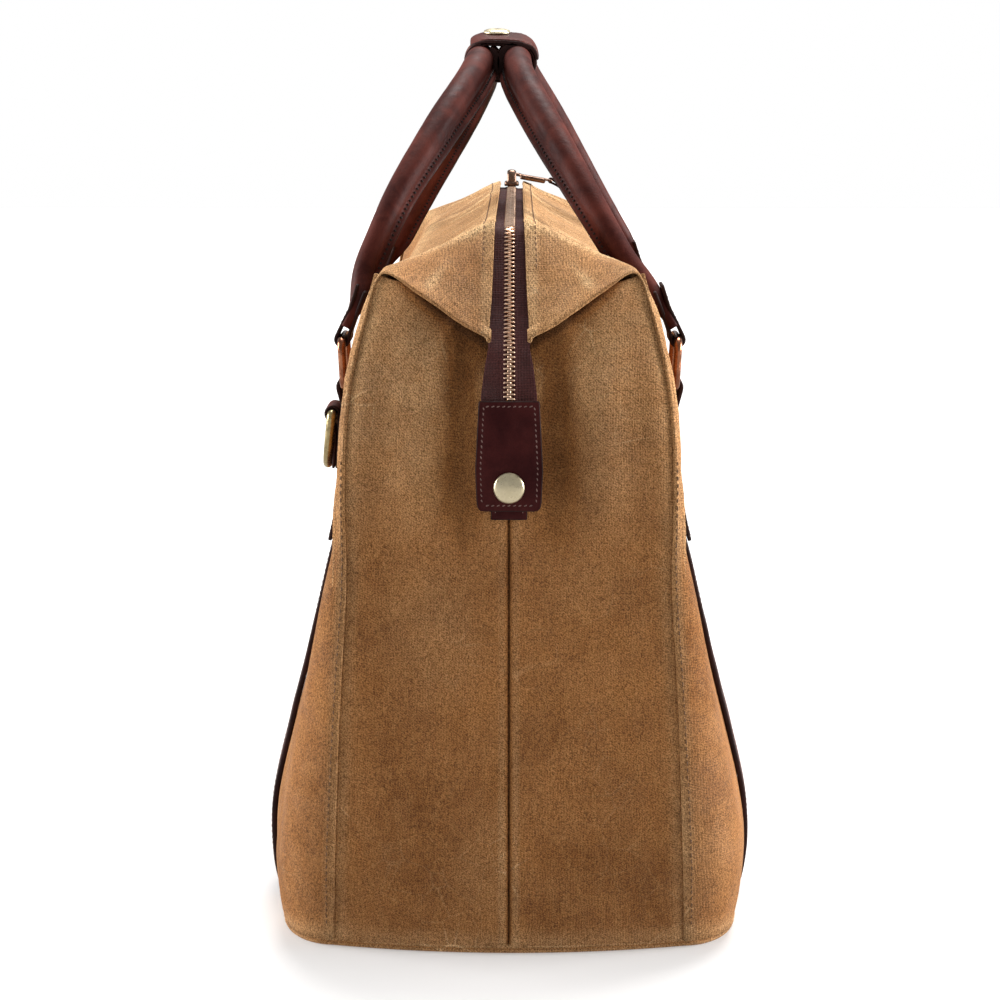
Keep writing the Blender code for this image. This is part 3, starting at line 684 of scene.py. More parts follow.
def wrinkle_lines(side, end, seed):
    """Creases in the top, as (from, to, height, width)."""
    rng = np.random.default_rng(seed)
    lines = [((BEND_X - 0.001, SLIT_Y + 0.005, RIDGE_Z), (0.2140, 0.0360, 0.3490), 0.0014, 0.0030),
             ((0.2120, 0.0320, 0.3500), (0.2300, 0.0580, 0.3440), 0.0013, 0.0034),
             ((0.194, SLIT_Y, RIDGE_Z), (0.2050, 0.0420, 0.3420), 0.0012, 0.0026),
             ((0.186, SLIT_Y, RIDGE_Z), (0.2130, 0.0500, 0.3380), -0.0011, 0.0042),
             ((0.172, SLIT_Y + 0.002, RIDGE_Z), (0.1900, 0.0460, 0.3370), 0.0012, 0.0030),
             ((0.2080, 0.0160, 0.3560), (0.2230, 0.0440, 0.3440), -0.0008, 0.0040),
             ((0.2180, 0.0420, 0.3460), (0.2260, 0.0380, 0.3380), 0.0007, 0.0018),
             ((0.2200, 0.0300, 0.3420), (0.2360, 0.0400, 0.3280), 0.0005, 0.0050)]
    for _ in range(9):
        x = rng.uniform(0.005, 0.178)
        lean, reach = rng.uniform(-0.022, 0.022), rng.uniform(0.022, 0.042)
        y = SLIT_Y + rng.uniform(0, 0.012)
        z = RIDGE_Z - (y - SLIT_Y) * TOP_SLOPE
        height = rng.choice((-1, 1)) * rng.uniform(0.0004, 0.0011)
        lines.append(((x, y, z), (x + lean, y + reach, z - reach * TOP_SLOPE), height, rng.uniform(0.0026, 0.0052)))
    way = np.array((end, side, 1))
    return [(way * a, way * b, height, width) for a, b, height, width in lines]


def canvas_columns():
    """Half the columns of one side's cloth: each runs up the panel, over the shoulder and on to the zip."""
    heights = np.linspace(CLOTH_FOOT_Z, 0.326, 110)
    middle, seam, radius, stop = corner(heights)
    fine = np.linspace(0, 1, 120)
    curves = [corner_curve(z, fine) for z in heights]
    share = swell(heights)[:, None]
    turned = [float(np.interp(SHOULDER_X, c[:, 0], fine)) for c in curves]
    columns = []
    for x in np.linspace(0, SHOULDER_X, PANEL_COLUMNS):
        crease = (x, side_y(x, CREASE_Z), np.interp(x, (EAR_X, SHOULDER_X), (CREASE_Z, SHOULDER_Z)))
        panel = np.stack([np.full(len(heights), x), full_side(x, heights), heights], 1)
        columns.append((panel, crease, (min(x, BEND_X), SLIT_Y, RIDGE_Z)))
    shoulder = np.array((SHOULDER_X, side_y(SHOULDER_X, CREASE_Z), SHOULDER_Z))
    ridge = np.array((BEND_X, SLIT_Y, RIDGE_Z))
    total = FLAT_COLUMNS + TURN_COLUMNS
    for k in range(1, total + 1):
        q = k / total
        if k <= FLAT_COLUMNS:
            x = SHOULDER_X + (middle - SHOULDER_X) * k / FLAT_COLUMNS
            y = side_y(x, heights)
        else:
            turn = stop * (k - FLAT_COLUMNS) / TURN_COLUMNS
            x, y = middle + radius * np.sin(turn), seam + radius * np.cos(turn)
        full = np.array([read_at(t0 + (1 - t0) * q, fine, c) for c, t0 in zip(curves, turned)])
        panel = np.c_[np.stack([x, y], 1) * (1 - share) + full * share, heights]
        outer = shoulder + (np.array(EAR_TIP) - shoulder) * q**0.8
        columns.append((panel, outer, ridge + (np.array(FOLD) - ridge) * q))
    return columns


def side_grid(side):
    """The whole cloth of one side before its creases: rows from the base to the zip."""
    half = []
    for k, (panel, outer, inner) in enumerate(canvas_columns()):
        line = np.concatenate([panel, [outer], [inner]])
        share = lengths(line)[-2] / lengths(line)[-1]
        # The ear's tip is rounded more than the rest of the top edge
        sigma = 0.0038 + 0.0040 * float(ease(k, PANEL_COLUMNS + 6, LAST_COLUMN))
        line = soften(resample(line, 0.0015), sigma, 0.0015)
        total = lengths(line)[-1]
        at = np.r_[np.linspace(0, share * total, UP + 1), np.linspace(share * total, total, OVER + 1)[1:]]
        half.append(resample(line, at=at))
    half = np.stack(half, 1)
    return settle(np.concatenate([half[:, :0:-1] * (-1, 1, 1), half], 1) * (1, side, 1))


def canvas_side(side_name, side):
    grid = side_grid(side)
    normals = grid_normals(grid, side)
    x, y, z = np.abs(grid[..., 0]), np.abs(grid[..., 1]), grid[..., 2]
    row = np.arange(len(grid))[:, None]
    columns = grid.shape[1]
    on_top = ease(row, UP - 3, UP + 3)
    on_panel = 1 - on_top
    steps = np.linalg.norm(np.diff(grid, axis=1), axis=2)
    run = np.concatenate([np.zeros((len(grid), 1)), np.cumsum(steps, 1)], 1)
    to_edge = np.minimum(run, run[:, -1:] - run)
    calm = ease(to_edge, 0.004, 0.05) * ease(z, 0.004, 0.06)
    strap = ease(np.abs(x - STRAP_X), 0.017, 0.040)
    soft = 0.0030 * field(grid, (9, 9, 7), 11 + side) + 0.0010 * field(grid, (30, 30, 24), 23 + side)
    soft = np.where(soft > 0, soft * 0.35, soft)
    slack = 0.0011 * field(grid, (75, 75, 16), 31 + side) * ease(z, 0.10, 0.30)
    shift = (soft + slack) * calm * strap * on_panel * ease(z, 0.335, 0.29)
    # Puckers beside the sewn edges and along the bottom
    shift += 0.00042 * field(grid, (150, 150, 150), 5) * ease(to_edge, 0.014, 0.003) * on_panel
    shift += 0.0005 * field(grid, (120, 120, 40), 8) * ease(z, 0.024, 0.006) * on_panel
    # The panel's edge lies over the end panel's
    shift += 0.0006 * ease(to_edge, 0.012, 0.0) * on_panel
    crest = np.zeros_like(x)
    for end in (1, -1):
        for a, b, height, width in wrinkle_lines(side, end, 40 + side + 3 * end):
            distance, along = near_line(grid, a, b)
            fade = np.sin(math.pi * (0.08 + 0.84 * along)) ** 0.6
            shift += height * bell(distance, 0, width) * fade * on_top
            if height > 0:
                crest += bell(distance, 0, 0.5 * width) * fade * on_top
    # The top sags between its crease and the zip
    sag = np.sin(np.clip((row - UP) / OVER, 0, 1) * math.pi)
    shift += on_top * ease(y, SLIT_Y + 0.002, SLIT_Y + 0.010) * (
        -0.0014 * sag * ease(0.175 - x, 0, 0.05) + 0.0005 * field(grid, (80, 80, 80), 67 + side)
        + 0.0016 * field(grid, (24, 24, 24), 61 + side) * ease(x, 0.245, 0.20))
    # The zip's two stitched hems stand a little proud
    hem = ease(y, SLIT_Y + 0.0072, SLIT_Y + 0.0044) * on_top
    grid = grid + normals * (shift + 0.0005 * hem)[..., None]
    # Wear: on the crease, the creases' crests, the ears' folds, the seams and the bottom; and a painted highlight
    # that pales the top where it faces up
    ridge = ease(np.abs(row - UP), 9, 0) * 0.22 * ease(z, 0.30, 0.33)
    column = np.abs(np.arange(columns) - columns // 2)
    fold = bell(column, PANEL_COLUMNS - 0.5, 1.3)
    fold = fold + 0.6 * bell(column, PANEL_COLUMNS - 7, 1.1) * ease(y, 0.052, 0.030)
    crest += 0.95 * fold * on_top * (0.75 + 0.5 * field(grid, (60, 60, 60), 77))
    # The painted highlight on the top is weaker on the ears, weakest on the front side's ears
    ear = (0.24 if side < 0 else 0.14) * ease(x, 0.196, 0.222)
    pale = ((0.30 - ear) * on_top * ease(normals[..., 2], 0.1, 0.75) + 0.62 * np.clip(crest, 0, 1) + ridge
            + 0.20 * ease(to_edge, 0.006, 0.001) * on_panel + 0.22 * ease(z, 0.016, 0.006)
            + 0.25 * hem * ease(x, 0.0, 0.2) + 0.10 * ease(field(grid, (14, 14, 10), 71), -0.1, 0.6))
    # Turn the end seams, the ears' folds and the zip hems under
    normals = grid_normals(grid, side)
    row = row[:, 0]
    radius = 0.0011 - 0.0006 * ease(np.abs(row - UP), 12, 2) - 0.0008 * ease(row, UP + OVER - 9, UP + OVER - 1)
    for _ in range(2):
        grid = turned_edge(grid, normals, radius, 0.006)[:, ::-1]
        normals, pale = more_columns(normals)[:, ::-1], more_columns(pale)[:, ::-1]
    from_end = np.minimum(np.arange(grid.shape[1]), np.arange(grid.shape[1])[::-1])
    hemmed = turned_edge(np.transpose(grid, (1, 0, 2)), np.transpose(normals, (1, 0, 2)),
                         0.0003 + 0.0005 * ease(from_end, 10, 18), 0.005 * ease(from_end, 9, 18))
    mesh = Mesh()
    mesh.grid(hemmed, 0, more_columns(pale.T))
    obj = piece(mesh, f"canvas_{side_name}", [CANVAS_CLOTH], None, "waxed_canvas", f"{side_name}_panel",
                f"{side_name}_top_flap", f"{side_name}_ear_left", f"{side_name}_ear_right",
                thick=CANVAS, way=(0, side, 0.6))
    open_with_flap(obj)
    # Stitching: beside both end seams, and along the zip hem
    core, surface = grid[:, HEM_COLUMNS:-HEM_COLUMNS], normals[:, HEM_COLUMNS:-HEM_COLUMNS]
    sewn = Mesh()
    for place in (1, -2):
        line, out = core[2:UP - 22, place], surface[2:UP - 22, place]
        stitches(sewn, line + out * 0.0003, out, 0.0036, 0.0022, 0.00036, 0)
    piece(sewn, f"seam_stitches_{side_name}", [CANVAS_THREAD], "root", "waxed_canvas")
    hem_row = next(r for r in range(UP + OVER, UP, -1) if np.abs(core[r, columns // 2, 1]) > SLIT_Y + 0.0038)
    line, out = core[hem_row, 14:columns - 15], surface[hem_row, 14:columns - 15]
    sewn = Mesh()
    stitches(sewn, line + out * 0.0002, out, 0.0034, 0.0024, 0.00034, 0)
    obj = piece(sewn, f"zip_hem_stitches_{side_name}", [CANVAS_THREAD], None, "waxed_canvas")
    open_with_flap(obj)


def fold_z(y):
    """Height of the ear's lower fold."""
    return FOLD[2] + (EAR_TIP[2] - FOLD[2]) * np.clip((np.abs(y) - FOLD[1]) / (EAR_TIP[1] - FOLD[1]), 0, 1)


def gusset(end_name, end, side_name, side):
    """Half of an end: columns from its middle seam to the side's seam."""
    share = np.r_[0, 0.006, 0.014, 0.026, 0.045, np.linspace(0.07, 0.94, 27), 0.965, 0.985, 1]
    c = share[None, :]
    top = fold_z(c * (EAR_TIP[1] + 0.001)) - 0.0002 - 0.0058 * ease(c, 0.70, 1.0)
    z = CLOTH_FOOT_Z + (top - CLOTH_FOOT_Z) * np.linspace(0, 1, 92)[:, None]
    _, seam, radius, stop = corner(z)
    edge = seam + radius * np.cos(stop)
    y = 0.0001 + c * (edge - 0.0001 + 0.0015 * ease(c, 0.9, 1.0))
    x = table(HALF_LENGTH, z) - radius * (1 - np.sin(stop)) * ease(y, edge - 0.010, edge)
    to_seam, under_fold = edge - y, fold_z(y) - z
    # Rounded shoulder under the ear's tip, tucked in along its fold
    fold_x = FOLD[0] + (EAR_TIP[0] - FOLD[0]) * np.clip((y - FOLD[1]) / (EAR_TIP[1] - FOLD[1]), 0, 1)
    tucked = ease(-under_fold, -0.030, -0.003) * ease(c, 0.42, 0.92)
    x = x + (fold_x - 0.0016 - 0.0012 * ease(c, 0.8, 1.0) - x) * tucked
    # The cloth tucks in at the middle seam and runs under the side panels' edges
    x = x - 0.0016 * bell(y, 0, 0.0008) + 0.0006 * bell(y, 0.0042, 0.0022) - 0.0012 * ease(to_seam, 0.0045, 0.0005)
    # Soft upright troughs beside the zip end, slack lower down
    pull = ease(z, 0.19, 0.245) * ease(z, 0.335, 0.29)
    trough = pull * bell(y, 0.0235, 0.0075)
    x = x - 0.0072 * trough + 0.0034 * pull * bell(y, 0.045, 0.012)
    x = x - 0.0050 * ease(z, 0.280, 0.31) * ease(y, 0.040, 0.012)
    grid = settle(np.stack([end * x, side * y, z], -1))
    calm = ease(y, 0.003, 0.02) * ease(to_seam, 0.004, 0.02) * ease(z, 0.004, 0.05)
    lift = 0.0026 * field(grid, (10, 12, 8), 81 + side + 5 * end)
    lift = (lift + 0.0008 * field(grid, (34, 40, 20), 87 + side + 5 * end)) * calm
    lift = lift + 0.00038 * field(grid, (150, 150, 150), 91 + side) * ease(to_seam, 0.016, 0.004)
    lift = lift + 0.00030 * field(grid, (160, 160, 160), 93 + side) * ease(y, 0.010, 0.002)
    grid[..., 0] += end * lift
    # Wear, with painted highlights towards the top (stronger on the front half) and on the bulge beside the
    # troughs, less painted shadows in the troughs, under the fold and in the middle seam
    wear_and_painted_light = (0.10 * ease(field(grid, (12, 16, 12), 97 + end + side), 0.0, 0.6) + 0.20 * ease(z, 0.016, 0.005)
            + 0.20 * bell(y, 0.0032, 0.0016) * (0.45 + 0.55 * ease(z, 0.16, 0.06))
            + 0.16 * bell(to_seam, 0.003, 0.004) + (0.17 if side > 0 else 0.26) * ease(z, 0.17, 0.33)
            + 0.10 * bell(y, 0.047, 0.016) * pull - 0.42 * trough * (0.8 + 0.4 * field(grid, (60, 60, 20), 99))
            - (0.30 * ease(-under_fold, -0.024, -0.001) + 0.9 * ease(-under_fold, -0.0095, -0.0015))
            * ease(y, 0.060, 0.036) - 0.30 * bell(y, 0, 0.0008))
    # The lower edge turns in over the bottom
    grid = np.concatenate([grid[:1] - (end * 0.004, 0, 0.0006), grid])
    mesh = Mesh()
    mesh.grid(grid, 0, np.concatenate([wear_and_painted_light[:1], wear_and_painted_light]))
    piece(mesh, f"{end_name}_end_{side_name}", [CANVAS_CLOTH], "root", "waxed_canvas",
          f"{end_name}_gusset_{side_name}", thick=CANVAS, way=(end, 0, 0))


def outline(z, inset=0.0):
    """The body's closed outline at height z, anticlockwise seen from above."""
    middle, seam, radius, _ = corner(z)
    turn = np.linspace(0, math.pi / 2, TURN_COLUMNS)
    bend = np.stack([middle + radius * np.cos(turn), seam + radius * np.sin(turn)], 1)
    fine = np.linspace(1, 0, 120)
    curve, share = corner_curve(z, fine), float(swell(z))
    start = np.interp(SHOULDER_X, curve[::-1, 0], fine[::-1])
    full = read_at(np.linspace(1, start, TURN_COLUMNS), fine[::-1], curve[::-1])
    bend = bend * (1 - share) + full * share
    x = np.linspace(bend[-1, 0], 0, 27)[1:]
    side = np.stack([x, full_side(x, z)], 1)
    end = np.stack([np.full(8, bend[0, 0]), np.linspace(0, float(seam), 9)[:-1]], 1)
    quarter = np.concatenate([end, bend, side])
    along = directions(quarter)
    quarter = quarter + inset * np.stack([-along[:, 1], along[:, 0]], 1)
    quarter[0, 1] = quarter[-1, 0] = 0
    back = np.concatenate([quarter, (quarter * (-1, 1))[-2::-1]])
    ring = np.concatenate([back, (back * (-1, -1))[1:-1]])
    return settle(np.c_[ring, np.full(len(ring), z)])[:, :2]


def level(ring, scale, z):
    return np.c_[ring * scale, np.full(len(ring), z)]


def bottom():
    """The bottom panel, with a thick rounded rim where it is sewn to the sides."""
    ring = outline(0.003)
    # Scale of the outline, height and wear
    levels = [(0.9920, 0.0056, 0.1), (0.9985, 0.0054, 0.30), (1.0012, 0.0046, 0.35), (1.0008, 0.0036, 0.25),
              (0.9984, 0.0030, 0.05), (0.9978, 0.0024, 0.15), (0.9984, 0.0016, 0.28), (0.9960, 0.0006, 0.25),
              (0.9850, 0.0001, 0.1)]
    levels += [(scale, 0.0, 0.0) for scale in (0.97, 0.93, 0.87, 0.79, 0.69, 0.57, 0.43, 0.28, 0.13, 0.02)]
    rows = []
    for scale, z, _ in levels:
        points = level(ring, scale, z)
        points[:, 2] += 0.0007 * ease(scale, 0.99, 0.9) * (1 + field(points, (14, 14, 1), 7))
        rows.append(points)
    mesh = Mesh()
    mesh.grid(rows, 0, np.repeat([paleness for _, _, paleness in levels], len(ring)), closed=True)
    mesh.cap(mesh.count - len(ring), len(ring))
    piece(mesh, "bottom", [CANVAS_CLOTH], "root", "waxed_canvas", "bottom_panel", thick=BOTTOM_THICK,
          way=(0, 0, -1))


def inside():
    """The lining, open at the top, and the board under it."""
    rows = np.array([level(outline(z, 0.0042), 1, z) for z in np.linspace(0.0070, 0.298, 60)])
    slack = 0.0022 * (0.6 + 0.4 * field(rows, (14, 14, 9), 101)) * ease(rows[..., 2], 0.01, 0.05)
    rows += unit(rows * (-1, -1, 0)) * (slack * ease(rows[..., 2], 0.3, 0.26))[..., None]
    # The upper ends stay clear of the gussets' troughs
    clear = ease(np.abs(rows[..., 0]), 0.20, 0.24) * ease(rows[..., 2], 0.15, 0.23)
    rows[..., 0] -= np.sign(rows[..., 0]) * 0.0105 * clear
    floor = [level(rows[0, :, :2], scale, 0.0068) for scale in (0.02, 0.3, 0.6, 0.85, 0.96)]
    mesh = Mesh()
    mesh.grid(np.concatenate([floor, rows]), closed=True)
    mesh.cap(0, rows.shape[1])
    piece(mesh, "lining_bag", [LINING], "root", "lining", "lining", thick=LINING_THICK)
    ring = outline(0.004, 0.0075)
    mesh = Mesh()
    mesh.rings([level(ring, scale, z) for scale, z in (
        (0.02, 0.0028), (0.5, 0.0028), (0.994, 0.0028), (1.0, 0.0034), (1.0, 0.0050), (0.994, 0.0056),
        (0.5, 0.0056), (0.02, 0.0056))])
    piece(mesh, "stiff_base", [BOARD], "root", "base_board", "base_board", angle=40)


# ---------------------------------------------------------------- zip
def zip_line(end=None):
    """The line of the tapes' upper face, with its tangents and normals: along the top, or down one end."""
    if end is None:
        line = resample([(-0.1950, 0, TAPE_TOP_Z), (0.1950, 0, TAPE_TOP_Z)], 0.0025)
    else:
        line = soften(resample([(end * x, 0, z) for x, z in ZIP_END_PATH], 0.0005), 0.0030, 0.0005)
        line = resample(line, 0.0015)
    tangent = directions(line)
    normal = unit(np.cross(tangent, (0, 1, 0)))
    return line, tangent, normal if normal[len(normal) // 2, 2] > 0 else -normal


def tape(mesh, end, side, outer):
    """One side's tape: beaded edge beside the teeth, selvedge at the other side."""
    line, _, normal = zip_line(end)
    outer = np.broadcast_to(outer, (len(line),))
    rows = []
    for f, lift in ((0.0, 0.0002), (0.06, 0.00055), (0.14, 0.0004), (0.24, 0.0), (0.4, 0.00003), (0.6, 0.0),
                    (0.8, 0.00003), (0.93, 0.00012), (1.0, -0.0001)):
        rows.append(line + np.outer(side * (0.0016 + (outer - 0.0016) * f), (0, 1, 0)) + normal * lift)
    rows = np.array(rows)
    mesh.grid(rows + normal[None] * (0.00022 * field(rows, (160, 160, 160), 111 + side))[..., None])


def tooth_row(mesh, end, side):
    """Single teeth, those of the two sides half a pitch apart."""
    line, *ways = zip_line(end)
    run = lengths(line)
    shape = ((0.0028, 0.0006), (0.0025, 0.0010), (0.0014, 0.0012), (0.0002, 0.0012), (-0.0006, 0.0011),
             (-0.0010, 0.0006))
    loop = [*shape, *((a, -b) for a, b in shape[::-1])]
    stations = ((-0.00047, 0.72), (-0.00034, 1.0), (0.00034, 1.0), (0.00047, 0.72))
    for s in np.arange(TEETH_PITCH * (0.5 if side > 0 else 1.0), run[-1] - TEETH_PITCH * 0.3, TEETH_PITCH):
        p, t, up = (read_at(s, run, rows) for rows in (line, *ways))
        mesh.rings([[p + t * along + np.array((0, side, 0)) * (a if a > 0 else a * wide) + up * (0.0004 + b * wide)
                     for a, b in loop] for along, wide in stations])


def zips():
    for side_name, side in SIDES:
        cloth, teeth = Mesh(), Mesh()
        tape(cloth, None, side, 0.0120)
        tooth_row(teeth, None, side)
        for obj in (piece(cloth, f"zip_tape_{side_name}", [TAPE], None, "zip_tape", f"{side_name}_zip_tape",
                          thick=TAPE_THICK, way=(0, 0, 1)),
                    piece(teeth, f"zip_teeth_{side_name}", [TEETH], None, "zip_metal", f"{side_name}_zip_teeth",
                          angle=50)):
            open_with_flap(obj)
    for end_name, end in ENDS:
        cloth, teeth = Mesh(), Mesh()
        width = np.interp(lengths(zip_line(end)[0]), *ZIP_END_WIDTH)
        for _, side in SIDES:
            tape(cloth, end, side, width)
            tooth_row(teeth, end, side)
        for obj in (piece(cloth, f"zip_tape_{end_name}", [TAPE], None, "zip_tape", f"{end_name}_zip_end",
                          thick=TAPE_THICK, way=(end, 0, 0.8)),
                    piece(teeth, f"zip_teeth_{end_name}", [TEETH], None, "zip_metal", f"{end_name}_zip_tail",
                          angle=50)):
            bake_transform(obj)


def slider():
    """The slider, its metal pull and the leather pull on it."""
    # Top plate: wide at the front, waisted at the back, with its edges turned down over the teeth
    half = [(-0.0058, 0.0028), (-0.0052, 0.0040), (-0.0030, 0.0045), (0.0, 0.0041), (0.0030, 0.0046),
            (0.0052, 0.0043), (0.0060, 0.0030), (0.0062, 0.0012)]
    ring = np.array(half + [(x, -y) for x, y in half[::-1]])
    mesh = Mesh()
    mesh.rings([level(ring, scale, TAPE_TOP_Z + height) + (SLIDER_X, 0, 0) for scale, height in (
        (0.3, 0.0018), (0.02, 0.0018), (0.90, 0.0018), (1.0, 0.0019), (1.03, 0.0026), (1.0, 0.0042), (0.93, 0.0048),
        (0.70, 0.0050), (0.3, 0.00505), (0.02, 0.00505))])
    turn = np.linspace(0, math.pi, 15)
    bridge = np.stack([SLIDER_X - 0.0035 * 1.25 * np.cos(turn), np.zeros(15),
                       TAPE_TOP_Z + 0.0046 + 0.0064 * np.sin(turn) ** 0.6], 1)
    tube(mesh, resample(bridge, 0.0006), 0.0014, sides=12)
    # The bridge is a flat bar
    mesh.points[-1][:, 1] *= 2.1
    piece(mesh, "slider_body", [BRONZE], "zip_slider", "antique_brass", "zip_slider", angle=60)

    def way(y, angle):
        return np.array((0, math.cos(angle), math.sin(angle))) * y

    hinge = np.array((SLIDER_X, 0, PULL_HINGE_Z))
    up = way(1, PULL_ANGLE + math.pi / 2)
    across = np.array((1.0, 0, 0))
    mesh = Mesh()
    eye = [hinge + way(0.0030 - 0.0030 * math.cos(t), PULL_ANGLE) + across * 0.0026 * math.sin(t)
           for t in np.linspace(0, 2 * math.pi, 25)[:-1]]
    tube(mesh, eye, 0.00105, closed=True, sides=10)
    Strap([hinge + way(y, PULL_ANGLE) + up * 0.0006 for y in (0.0056, 0.0225)], across,
          lambda s: np.interp(s, (0, 0.003, 0.010, 0.0169), (0.0018, 0.0030, 0.0036, 0.0040)), 0.0032, up, 0.001,
          rounding=0.0011).into(mesh, 0, 0, crown=0.0003)
    loop = [(0.0222, -0.0036), (0.0262, -0.0036), (0.0267, -0.0030), (0.0267, 0.0030), (0.0262, 0.0036),
            (0.0222, 0.0036), (0.0218, 0.0030), (0.0218, -0.0030)]
    loop = resample([hinge + way(y - 0.0004, PULL_ANGLE) + across * x for y, x in loop + loop[:1]], 0.0004)[:-1]
    tube(mesh, soften(loop, 0.0003, 0.0004), 0.0007, closed=True, sides=10)
    piece(mesh, "slider_pull_plate", [BRONZE], "slider_pull", "antique_brass", "slider_pull", angle=60)
    # Leather pull: folded round the frame's bar
    base = hinge + way(PULL_LENGTH - 0.00075, PULL_ANGLE)
    over = way(1, PULL_TAB_ANGLE + math.pi / 2)
    lower = [(0.0205, -0.0011), (0.0120, -0.0012), (0.0050, -0.0013)]
    path = lower + [(0.0021 * math.cos(t), 0.0021 * math.sin(t))
                    for t in np.radians((-50, -90, -130, -180, -230, -270, -310))]
    path += [(y, -h) for y, h in lower[::-1]]
    points = [base + way(y, PULL_TAB_ANGLE) + over * h for y, h in path]
    total = lengths(np.array(points))[-1]
    widths = ((0, 0.0012, 0.009, 0.0155, 0.02), (0.0034, 0.0044, 0.0046, 0.0024, 0.0023))
    mesh = Mesh()
    strap = Strap(points, across, lambda s: np.interp(np.minimum(s, total - s), *widths), 0.0013, -over, 0.001)
    strap.into(mesh)
    strap.sew(mesh, total - 0.0095, total - 0.0018, 0.0032, PULL_SEWING)
    piece(mesh, "leather_pull_tab", HIDE, "leather_pull", "leather", "leather_pull")


# ---------------------------------------------------------------- leather and fittings
def snap_cap(name, centre, axis, height, body, node):
    """A pressed cap: thin turned rim and a low dome."""
    profile = [(0.0, -0.0006), (SNAP_RADIUS * 0.9, -0.0006), (SNAP_RADIUS * 0.985, -0.0002), (SNAP_RADIUS, 0.0003),
               (SNAP_RADIUS * 0.985, 0.0008)]
    profile += [(SNAP_RADIUS * 0.965 * math.cos(t), 0.0008 + (height - 0.0008) * math.sin(t))
                for t in np.radians((14, 26, 38, 50, 60, 70, 78, 85, 90))]
    mesh = Mesh()
    lathe(mesh, profile, centre, axis)
    piece(mesh, name, [BRASS], body, "antique_brass", node)


def round_off(s, stop, radius):
    """How far the edge draws in over the last radius before the stop."""
    return radius * (1 - np.sqrt(np.clip(1 - (np.clip(s - stop + radius, 0, radius) / radius) ** 2, 0, 1)))


def end_tabs():
    """The tab on each zip end, its cap, and the tab under it."""
    for end_name, end in ENDS:
        path = [(end * x, 0, z) for x, z in TAB_PATH]
        total = lengths(np.array(path))[-1]

        def half(s):
            body = np.interp(s, np.array((0, 0.2, 0.62, 0.9, 1)) * total, (0.0146, 0.0152, 0.0163, 0.0157, 0.0150))
            return body - round_off(s, total, 0.0026)

        mesh = Mesh()
        tab = Strap(path, (0, 1, 0), half, 0.0025, (end, 0, 0.2), 0.0015, 0.004, 0.0006)
        tab.into(mesh, crown=0.0002, waves=0.0002, seed=3)
        tab.sew(mesh, 0.0022, tab.length - 0.0035, lambda s: half(s) - 0.0026, TAB_SEWING, (1, -1), tilt=0.35)
        for s in (0.0026, tab.length - 0.0030):
            tab.sew_across(mesh, s, half(s) - 0.0026, 30, TAB_SEWING, tilt=0.35)
        piece(mesh, f"{end_name}_tab_leather", TAB_HIDE, f"{end_name}_tab", "leather", f"{end_name}_end_tab")
        snap_cap(f"{end_name}_tab_cap", (end * 0.2638, 0, 0.2355), (end, 0, 0.06), 0.0026, f"{end_name}_tab",
                 f"{end_name}_snap_cap")
        mesh = Mesh()
        under = Strap([(end * x, 0, z) for x, z in UNDER_TAB_PATH], (0, 1, 0), 0.0088, 0.0015, (end, 0, 0.2), 0.002,
                      0.003)
        under.into(mesh)
        under.sew(mesh, 0.002, under.length - 0.002, 0.0066, FINE_SEWING)
        piece(mesh, f"{end_name}_under_tab_leather", TAB_HIDE, "root", "leather", f"{end_name}_under_tab")


def arc(middle, radius, start, stop, steps):
    turns = np.radians(np.linspace(start, stop, steps + 1))
    return [(middle[0] + radius * math.cos(t), middle[1] + radius * math.sin(t)) for t in turns]


def on_side(heights, lift):
    return [(float(table(HALF_WIDTH, z)) + lift, z) for z in heights]


def chape_half(s):
    return np.interp(s, (0, 0.0075, 1), (0.0085, 0.0152, 0.0152))


def straps():
    """The straps down the faces, and the chapes that hold the rings."""
    for side_name, side, end_name, end in CORNERS:
        x = end * STRAP_X
        path = [(x, side * y, z) for y, z in on_side(np.linspace(0.0045, 0.247, 60), GAP + STRAP_T)]
        mesh = Mesh()
        strap = Strap(path, (1, 0, 0), 0.016, STRAP_T, (0, side, 0), 0.003, rounding=0.0010)
        strap.into(mesh, crown=0.0003, waves=0.0003, seed=7 + side + end)
        strap.sew(mesh, 0.003, strap.length - 0.002, 0.0132, STRAP_SEWING)
        mesh.points = [side_warp(q) for q in mesh.points]
        piece(mesh, f"strap_{side_name}_{end_name}", HIDE, "root", "leather", f"{side_name}_strap_{end_name}")
        path = on_side((0.1905, 0.20, 0.21, 0.23, 0.25, 0.260), STRAP_T + 3 * GAP + CHAPE_T)
        path += arc(RING_LOW, RING_WIRE + WIRE_CLEARANCE + CHAPE_T, -20, 190, 14) + on_side((0.2515,), GAP)
        mesh = Mesh()
        chape = Strap([(x, side * y, z) for y, z in path], (1, 0, 0), chape_half, CHAPE_T, (0, side, 0), 0.0015,
                      0.0015, 0.0006)
        chape.into(mesh)
        chape.sew(mesh, 0.0022, 0.062, lambda s: chape_half(s) - 0.0026, CHAPE_SEWING)
        chape.sew_across(mesh, 0.0026, 0.006, 20, CHAPE_SEWING)
        chape.sew_across(mesh, 0.060, 0.0122, 24, CHAPE_SEWING)
        mesh.points = [side_warp(q) for q in mesh.points]
        piece(mesh, f"chape_{side_name}_{end_name}", HIDE, "root", "leather", f"{side_name}_chape_{end_name}")


def wire(points, radius):
    """A closed ring of bent wire."""
    mesh = Mesh()
    tube(mesh, resample(points + points[:1], 0.0012)[:-1], radius, closed=True, sides=18, waves=0.00004)
    return mesh


